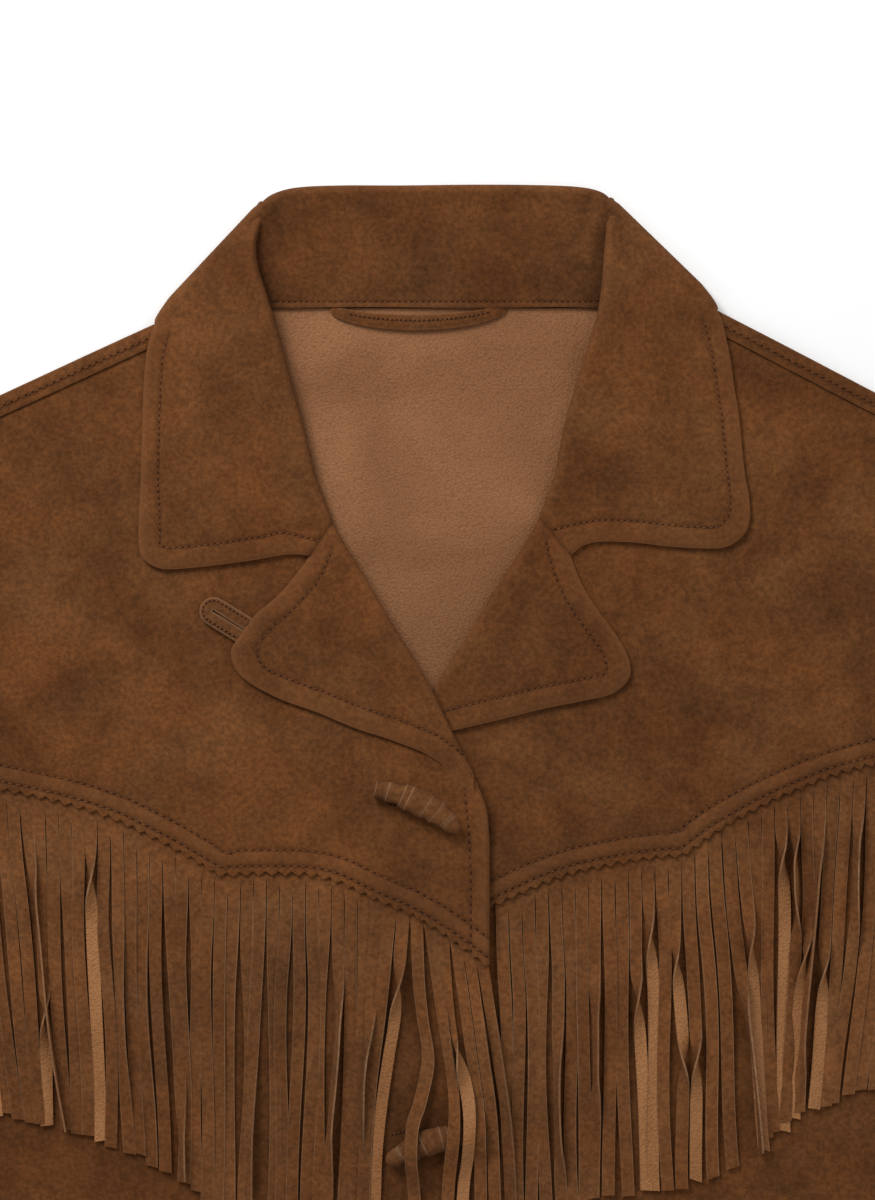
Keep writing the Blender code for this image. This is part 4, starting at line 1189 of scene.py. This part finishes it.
# %% Sleeves
Cuff = namedtuple("Cuff", "top_x top_y under_x under_y armhole crown")
SLEEVE = (                 # top fold and under fold, from the shoulder to the cuff
    Cuff(236.6, 91.4, 273.8, -110.0, 1.0, 0.2), Cuff(262, 74, 284, -132, 0.7, 1.2),
    Cuff(300, 36, 297, -162, 0.3, 2.2), Cuff(345, -42, 318, -216, 0.1, 2.8),
    Cuff(398, -140, 345, -290, 0.0, 2.6), Cuff(452, -246, 374, -368, 0.0, 2.8),
    Cuff(500, -345, 400, -436, 0.0, 2.4), Cuff(536, -427, 422, -492, 0.0, 1.8),
)
SLEEVE_CREASES = (         # along the sleeve from 0 to 1, across it from 0 to 1
    Crease(0.08, 0.75, 0.26, 0.45, 0.035, 2.0), Crease(0.05, 0.55, 0.20, 0.2, 0.03, 1.3),
    Crease(0.16, 1.0, 0.36, 0.7, 0.03, 1.6), Crease(0.44, 0.0, 0.52, 0.4, 0.028, 1.8),
    Crease(0.50, 1.0, 0.47, 0.55, 0.026, 2.2), Crease(0.57, 0.95, 0.53, 0.5, 0.03, 1.5),
    Crease(0.60, 0.0, 0.64, 0.35, 0.03, 1.2), Crease(0.74, 0.9, 0.80, 0.4, 0.035, 1.1),
    Crease(0.88, 0.1, 0.84, 0.6, 0.03, 0.9),
)
ARMHOLE_ROW = 0.012
CUFF_ROW = 0.982


def make_sleeve(side, name):
    tube = resample(spline(SLEEVE, steps=16), count=130)
    run = run_along(tube) / run_along(tube)[-1]
    heights = np.linspace(SIDE_CURVE[-1, 1], -110.0, 44)
    share = (heights[0] - heights) / (heights[0] - heights[-1])
    width = np.interp(heights, SIDE_CURVE[:, 1], SIDE_CURVE[:, 0])
    hollow = width - (width[0] + (width[-1] - width[0]) * share)
    bends = np.radians((-60, -30, 0, 30, 60))
    grid = np.zeros((len(tube), 2 * len(share) + 2 * len(bends), 3))
    for i, (top_x, top_y, under_x, under_y, armhole, crown) in enumerate(tube):
        across = np.array((under_x - top_x, under_y - top_y))
        x = top_x + across[0] * share + hollow * armhole
        y = top_y + across[1] * share
        across = across / np.hypot(*across)
        fade = ramp(run[i], 0.0, 0.06)
        half = (0.9 + 0.5 * fade) * np.ones(2)
        crest = np.zeros(len(share))
        for crease in SLEEVE_CREASES:
            tilt = crease if side > 0 else crease._replace(x1=crease.x1 + 0.03, x2=crease.x2 + 0.02)
            crest += tilt.height * bell(segment_gap(run[i], share, tilt), tilt.width)
        swollen = crown * 4 * share * (1 - share) + crest * fade * (4 * share * (1 - share)) ** 0.4
        swollen += 0.4 * np.sin(share * 9 + run[i] * 14) * fade * (4 * share * (1 - share))
        under = np.stack([x, y, np.full(len(x), FLOOR_LAYER)], axis=1)
        over_side = np.stack([x, y, level(0, -1) + 2 * half[0] + swollen], axis=1)
        rounds = []
        for corner, sign in (((x[-1], y[-1]), 1), ((x[0], y[0]), -1)):
            reach = 2.0 * np.cos(bends) * sign
            z = FLOOR_LAYER + half[0] * (1 + np.sin(bends))
            line = np.stack([corner[0] + across[0] * reach, corner[1] + across[1] * reach, z], axis=1)
            rounds.append(line if sign > 0 else line[::-1])
        grid[i] = np.concatenate([under, rounds[0], over_side[::-1], rounds[1]])
    grid[..., 0] *= side
    rows = bell(run - ARMHOLE_ROW, 0.0018) + bell(run - CUFF_ROW, 0.0018)
    armhole_shade = bell(run, 0.003)
    upper = np.zeros(grid.shape[1])
    upper[len(share):2 * len(share) + len(bends)] = 1.0
    grid[..., 2] -= (0.4 * rows)[:, None] * upper
    # Painted shade in the rows of stitches and at the armhole's edge.
    seam_shade = (0.5 * rows + 0.6 * armhole_shade)[:, None] * upper
    # Paler turned cuff edge: rubbed leather and painted highlight.
    pale_edge_and_highlight = (0.3 * bell(run - 0.991, 0.006))[:, None] * upper
    return sheet_piece(name, [(grid, {"seam_shade": seam_shade, "pale_edge_and_highlight": pale_edge_and_highlight})], (SUEDE, INSIDE, CUT_EDGE), SUEDE_WALL,
                       closed=True)


sleeve_right = belongs(make_sleeve(-1, "sleeve_leather_right"), "suede", "sleeve_right")
sleeve_left = belongs(make_sleeve(1, "sleeve_leather_left"), "suede", "sleeve_left")

# %% [markdown]
# ## Two loops
# The hanger loop is a folded strap whose ends go into the neck seam. The button loop comes from under the
# right lapel: a narrow doubled strap bent into a long eye, with its pale cut edge outside and a row of
# stitches round it.

# %% Straps
def strap_piece(name, line, widths, heights, wall, leathers, crown=0.35, pale=0.5):
    """A strap along a plan curve, with a width and a height at each point."""
    run = np.gradient(line, axis=0)
    run /= np.linalg.norm(run, axis=1)[:, None]
    normal = np.stack([-run[:, 1], run[:, 0]], axis=1)
    across = np.linspace(-1, 1, 9)
    grid = np.zeros((len(line), len(across), 3))
    for j, share in enumerate(across):
        grid[:, j, :2] = line + normal * (share * widths / 2)[:, None]
        grid[:, j, 2] = heights + crown * (1 - share**2) - 0.35 * bell(abs(share) - 0.62, 0.14)
    # A pale cut edge on both sides, and painted shade in the two rows of stitches.
    pale_edge_and_highlight = np.broadcast_to(pale * bell(abs(across) - 1.0, 0.22), grid.shape[:2])
    seam_shade = np.broadcast_to(0.35 * bell(abs(across) - 0.62, 0.12), grid.shape[:2])
    return sheet_piece(name, [(grid, {"pale_edge_and_highlight": pale_edge_and_highlight, "seam_shade": seam_shade})], leathers, wall, rounded=0.3)


def make_hanger_loop():
    share = np.linspace(0, 1, 60)
    bow = np.sin(math.pi * share) ** 0.5
    x = -52.5 + 86.0 * share
    y = 146.6 + 0.8 * share - 8.2 * bow
    z = level(0, y) + 1.0 + 1.6 * bow
    width = 4.4 + 3.4 * np.sin(math.pi * share) ** 0.5
    line = np.stack([x, y], axis=1)
    ROWS["hanger_loop"] = np.stack([x, y + 1.0], axis=1)[5:-5]
    return strap_piece("hanger_strap", line, width, z, 1.6, (SUEDE, SUEDE, CUT_EDGE))


LOOP_TIP = np.array((-112.2, -5.6))
LOOP_AXIS = np.array((0.85, -0.527))
LOOP_HALF = 3.7            # from the slit to the middle of each leg
LOOP_LEG = 20.5


def loop_line():
    across = np.array((-LOOP_AXIS[1], LOOP_AXIS[0]))
    upper = LOOP_TIP + across * LOOP_HALF + LOOP_AXIS * np.linspace(LOOP_LEG, 1, 14)[:, None]
    angles = np.radians(np.linspace(90, 270, 25))[:, None]
    tip = LOOP_TIP + LOOP_HALF * (np.sin(angles) * across + np.cos(angles) * LOOP_AXIS)
    lower = LOOP_TIP - across * LOOP_HALF + LOOP_AXIS * np.linspace(1, LOOP_LEG - 1.5, 14)[:, None]
    return np.vstack([upper, tip, lower])


def make_button_loop():
    line = resample(loop_line(), step=0.8)
    share = np.linspace(0, 1, len(line))
    z = yoke_z(-1, -line[:, 0], line[:, 1]) + 1.9 + 1.0 * np.sin(math.pi * share)
    width = 6.9 - 0.5 * bell(share - 0.5, 0.16)
    ROWS["lapel_loop"] = offset(line, -1.6)[3:-3]
    return strap_piece("button_loop", line, width, z, 1.5, (TOGGLE, SUEDE, CUT_EDGE), crown=0.5, pale=0.55)


hanger_strap = belongs(make_hanger_loop(), "suede", "hanger_loop")
button_loop = belongs(make_button_loop(), "suede", "lapel_loop")

# %% [markdown]
# ## Rolled toggles
# A toggle is a long tapered strip of suede rolled up on itself and pulled through its own end, like a
# small croissant. It starts here as a cylinder along its axis. Its end face is extruded again and again:
# a step out for the raw edge of each turn of the strip, a run along it, and a last few steps that shrink
# into the rounded cap. Every ring is turned a little, because the strip winds at a slant.

# %% Toggles
Wrap = namedtuple("Wrap", "start end first last")
WRAPS = (                  # turns of the strip: from, to, radius at each end
    Wrap(-23.8, -17.6, 4.4, 4.5), Wrap(-17.6, -10.0, 4.9, 5.2), Wrap(-10.0, -6.6, 5.9, 6.0),
    Wrap(-6.6, 3.2, 6.6, 6.5), Wrap(3.2, 9.0, 6.2, 6.0), Wrap(9.0, 15.0, 5.7, 5.1),
)
CAP = ((15.2, 4.5), (17.6, 4.6), (20.0, 4.35), (22.2, 3.4), (23.6, 1.9))
RING = 0.35                # width of the pale cut edge at each turn
SLANT = 5.0
BOW = 0.66                 # bend of the whole barrel, in radians
Place = namedtuple("Place", "name node x y turn flip")
PLACES = (
    Place("rolled_toggle_1", "toggle_1", -9.0, -102.3, -27.0, 1),
    Place("rolled_toggle_2", "toggle_2", -3.5, -272.0, 17.0, -1),
    Place("rolled_toggle_3", "toggle_3", -9.0, -443.0, -14.0, 1),
)


def select_end(obj, x):
    """In edit mode, selects only the flat face at the far end."""
    work = bmesh.from_edit_mesh(obj.data)
    for face in work.faces:
        face.select_set(all(abs(vert.co.x - x) < 1e-6 for vert in face.verts))
    bmesh.update_edit_mesh(obj.data)


def grow(step, factor):
    bpy.ops.mesh.extrude_region_move(TRANSFORM_OT_translate={"value": (step, 0, 0)})
    bpy.ops.transform.resize(value=(1, factor, factor), center_override=(0, 0, 0))


def roll_toggle():
    bpy.ops.object.select_all(action="DESELECT")
    first = WRAPS[0]
    bpy.ops.mesh.primitive_cylinder_add(vertices=28, radius=first.first * MM, depth=0.5 * MM,
                                        location=(first.start * MM, 0, 0), rotation=(0, math.pi / 2, 0))
    roll = bpy.context.object
    bpy.ops.object.transform_apply(location=True, rotation=True, scale=True)
    bpy.ops.object.mode_set(mode="EDIT")
    here = first.start + 0.25
    select_end(roll, here * MM)
    radius = first.first
    for wrap in WRAPS:
        bpy.ops.mesh.inset(thickness=0.0001 * MM)
        grow(0.0, wrap.first / radius)
        steps = max(3, int((wrap.end - here) / 1.2))
        stops = [here, *np.linspace(here + RING, wrap.end - RING, steps), wrap.end]
        sizes = np.interp(stops, (here, wrap.end), (wrap.first, wrap.last))
        for k in range(1, len(stops)):
            grow((stops[k] - stops[k - 1]) * MM, sizes[k] / sizes[k - 1])
        here = wrap.end
        radius = wrap.last
    for x, smaller in CAP:
        grow((x - here) * MM, smaller / radius)
        here, radius = x, smaller
    bpy.ops.object.mode_set(mode="OBJECT")
    return roll


TEMPLATE = roll_toggle()
print("one toggle has", len(TEMPLATE.data.polygons), "faces")


def place_toggle(place):
    """Bends, slants and sets down one copy of the rolled toggle."""
    toggle = TEMPLATE.copy()
    toggle.data = TEMPLATE.data.copy()
    toggle.name = place.name
    bpy.context.scene.collection.objects.link(toggle)
    mesh = toggle.data
    points = np.zeros(len(mesh.vertices) * 3)
    mesh.vertices.foreach_get("co", points)
    points = points.reshape(-1, 3) / MM
    x, y, z = points.T.copy()
    radius = np.hypot(y, z)
    ends = np.array([wrap.end for wrap in WRAPS])
    pale_edge_and_highlight = 1.0 * np.max([bell(x - end, 0.22) for end in [WRAPS[0].start, *ends]], axis=0)
    x = x + np.tan(math.radians(SLANT)) * z * 0.25 + np.tan(math.radians(SLANT)) * y
    lump = 1 + 0.05 * np.sin(x * 0.7 + 1) * np.cos(np.arctan2(z, y) * 2)
    y, z = y * lump, z * lump * 0.74
    bend = BOW * x / 46.0
    bowed = 46.0 / BOW * (np.cos(bend) - 1)
    x, y = 46.0 / BOW * np.sin(bend) + y * np.sin(bend), bowed + y * np.cos(bend) + 1.4
    turn = math.radians(place.turn + (180 if place.flip < 0 else 0))
    y = y * place.flip
    across, along = x * math.cos(turn) - y * math.sin(turn), x * math.sin(turn) + y * math.cos(turn)
    plan_x, plan_y = place.x + across, place.y + along
    u = np.clip(-plan_x, -25.5, None)
    ground = yoke_z(-1, u, plan_y) if place.node == "toggle_1" else front_z(-1, u, plan_y)
    rest = float(ground.max()) + SUEDE_WALL / 2 + 4.6
    points = to_frame(np.stack([plan_x, plan_y, z + rest], axis=1))
    mesh.vertices.foreach_set("co", points.reshape(-1))
    for key, values in (("pale_edge_and_highlight", pale_edge_and_highlight), ("seam_shade", 0 * pale_edge_and_highlight), ("shade", 0 * radius)):
        mesh.attributes.new(key, "FLOAT", "POINT").data.foreach_set("value", values.astype(np.float32))
    mesh.materials.append(TOGGLE)
    work = bmesh.new()
    work.from_mesh(mesh)
    bmesh.ops.remove_doubles(work, verts=work.verts, dist=0.003 * MM)
    bmesh.ops.recalc_face_normals(work, faces=work.faces)
    work.to_mesh(mesh)
    work.free()
    select_only(toggle)
    bpy.ops.object.shade_smooth_by_angle(angle=math.radians(38))
    return belongs(toggle, "toggle", place.node)


for place in PLACES:
    place_toggle(place)
bpy.data.objects.remove(TEMPLATE)

# %% [markdown]
# ## Stitches
# One stitch is a short thick thread that dives into a needle hole at each end. It is modelled once and
# copied along every seam, a little slanted, with a flat dark disk of painted shade for the needle hole
# between it and the next one. The height of the leather below each stitch is found by dropping a line on it
# from above.

# %% One stitch and one hole
THREAD_RADIUS = 0.36
STITCH_LENGTH = 2.2


def make_stitch():
    bpy.ops.object.select_all(action="DESELECT")
    bpy.ops.mesh.primitive_cylinder_add(vertices=6, radius=THREAD_RADIUS, depth=0.5 * STITCH_LENGTH,
                                        rotation=(0, math.pi / 2, 0))
    stitch = bpy.context.object
    bpy.ops.object.transform_apply(location=True, rotation=True, scale=True)
    for sign in (-1, 1):
        bpy.ops.object.mode_set(mode="EDIT")
        bpy.ops.mesh.select_all(action="DESELECT")
        work = bmesh.from_edit_mesh(stitch.data)
        for face in work.faces:
            face.select_set(face.normal.x * sign > 0.9)
        bmesh.update_edit_mesh(stitch.data)
        pull = (sign * 0.25 * STITCH_LENGTH, 0, -0.22)
        bpy.ops.mesh.extrude_region_move(TRANSFORM_OT_translate={"value": pull})
        bpy.ops.transform.resize(value=(1, 0.6, 0.6), center_override=(sign * 0.5 * STITCH_LENGTH, 0, -0.22))
        bpy.ops.object.mode_set(mode="OBJECT")
    shape = np.array([vert.co[:] for vert in stitch.data.vertices])
    faces = [tuple(face.vertices) for face in stitch.data.polygons]
    bpy.data.objects.remove(stitch)
    return shape, faces


STITCH_SHAPE, STITCH_FACES = make_stitch()
# A needle hole is a flat dark disk on the leather: painted shade.
HOLE_ANGLES = np.radians(np.arange(0, 360, 60))
HOLE_SHAPE = np.stack([0.85 * np.cos(HOLE_ANGLES), 0.58 * np.sin(HOLE_ANGLES),
                       np.full(len(HOLE_ANGLES), 0.05)], axis=1)
print("one stitch has", len(STITCH_FACES), "faces")


def surface(piece):
    mesh = piece.data
    points = [vert.co for vert in mesh.vertices]
    return BVHTree.FromPolygons(points, [face.vertices for face in mesh.polygons])


def sew(name, rows, pieces, pitch, slant=9.0, length=1.0):
    """Copies the stitch along the rows of plan points, on the top of the pieces below them."""
    trees = [surface(piece) for piece in pieces]
    verts = []
    faces = []
    kinds = []
    down = Vector((0, 0, -1))
    for row in rows:
        line = resample(np.asarray(row, float), step=pitch / 2)
        for i in range(1, len(line) - 1):
            x, y = line[i]
            start = Vector((x * MM, (y + PLAN_Y) * MM, 0.08))
            hits = [tree.ray_cast(start, down) for tree in trees]
            hits = [hit for hit in hits if hit[0] is not None]
            if not hits:
                continue
            place, normal = min(hits, key=lambda hit: hit[3])[:2]
            if normal.z < 0:
                normal = -normal
            ahead = line[i + 1] - line[i - 1]
            turn = math.atan2(ahead[1], ahead[0]) + (math.radians(slant) if i % 2 else 0)
            along = Vector((math.cos(turn), math.sin(turn), 0))
            along = (along - normal * along.dot(normal)).normalized()
            side = normal.cross(along)
            shape = STITCH_SHAPE * (length, 1, 1) if i % 2 else HOLE_SHAPE
            lift = 0.12 if i % 2 else 0.0
            basis = np.array((along[:], side[:], normal[:]))
            start_at = sum(len(part) for part in verts)
            verts.append((shape + (0, 0, lift)) @ basis * MM + np.array(place[:]))
            parts = STITCH_FACES if i % 2 else [tuple(range(6))]
            faces.extend(tuple(k + start_at for k in part) for part in parts)
            kinds.extend([0 if i % 2 else 1] * len(parts))
    mesh = bpy.data.meshes.new(name)
    mesh.from_pydata(np.concatenate(verts).tolist(), [], faces)
    mesh.materials.append(THREAD)
    mesh.materials.append(NEEDLE_HOLE_SHADE)
    mesh.polygons.foreach_set("material_index", kinds)
    for key in ("pale_edge_and_highlight", "seam_shade", "shade"):
        mesh.attributes.new(key, "FLOAT", "POINT")
    piece = bpy.data.objects.new(name, mesh)
    bpy.context.scene.collection.objects.link(piece)
    return belongs(piece, "thread")


# %% All the rows
def shoulder_row(side):
    (u1, y1), (u2, y2) = SHOULDERS[side]
    turn = shoulder_turn(side)
    drop = np.array((math.sin(turn), math.cos(turn))) * 0.5 * FLAP
    start = (u1 + 48, y1 + (y2 - y1) * 48 / (u2 - u1))
    return resample(np.array((start, (u2 - 2, y2 + 0.9))), step=4.0) - drop


sew("collar_stitches", [ROWS["leaf_right"], ROWS["leaf_left"]], [collar], 3.2)
NECK_ROW = ((-80, NECK_Y + 3.0), (80, NECK_Y + 3.0))
sew("neck_stitches", [NECK_ROW], [collar], 2.9, length=0.85)
sew("lapel_stitches", [ROWS["lapel_right"], ROWS["lapel_left"]],
                         [lapel_right, lapel_left], 3.2)
sew("yoke_stitches_right", [*YOKE_ROWS[-1], FRONT_ROW], [yoke_right], 3.9)
sew("yoke_stitches_left", YOKE_ROWS[1], [yoke_left], 3.9)
FRONT_DOWN = ((FRONT_STITCH, -162.0), (FRONT_STITCH, HEM_Y + 10.0))
HEM_LINE = HEM_Y + 10.0
sew(
    "front_stitches_right", [FRONT_DOWN, ((FRONT_STITCH, HEM_LINE), (-272, HEM_LINE))], [front_right], 3.9)
sew("front_stitches_left", [((-20, HEM_LINE), (272, HEM_LINE))], [front_left], 3.9)
sew(
    "shoulder_stitches", [shoulder_row(side) * (side, 1) for side in (-1, 1)], [back], 3.9)
sew(
    "buttonhole_stitches", [((-25.5, -101.6), (-16.0, -103.6)), ((-24.5, -268.4), (-11.5, -265.0))],
    [front_right, yoke_right], 2.1, slant=55.0, length=0.75)
sew("loop_stitches", [ROWS["hanger_loop"], ROWS["lapel_loop"]],
                        [hanger_strap, button_loop], 2.3, length=0.62)


def sleeve_rows(side):
    rows = []
    tube = resample(spline(SLEEVE, steps=16), count=200)
    run = run_along(tube) / run_along(tube)[-1]
    heights = np.linspace(0.03, 0.97, 60)
    for at in (ARMHOLE_ROW, CUFF_ROW):
        cuff = np.array([np.interp(at, run, tube[:, k]) for k in range(tube.shape[1])])
        y = SIDE_CURVE[-1, 1] + (-110.0 - SIDE_CURVE[-1, 1]) * heights
        width = np.interp(y, SIDE_CURVE[:, 1], SIDE_CURVE[:, 0])
        first, last = SIDE_CURVE[-1, 0], np.interp(-110.0, SIDE_CURVE[:, 1], SIDE_CURVE[:, 0])
        hollow = (width - first - (last - first) * heights) * cuff[4]
        x = cuff[0] + (cuff[2] - cuff[0]) * heights + hollow
        rows.append(np.stack([side * x, cuff[1] + (cuff[3] - cuff[1]) * heights], axis=1))
    return rows


sew("sleeve_stitches", [*sleeve_rows(-1), *sleeve_rows(1)],
                          [sleeve_right, sleeve_left], 3.9)

# %% [markdown]
# ## A record for the cut sizes
# A record for the size each leather was cut to: the piece, its width, length and area, what holds it,
# what it rests on and what it is sewn with. They are not read off the finished sheets, or the check
# would compare a sheet with itself.

# %% A record for the cut sizes, in metres
Cut = namedtuple("Cut", "piece width length area held rests_on sewn_with")
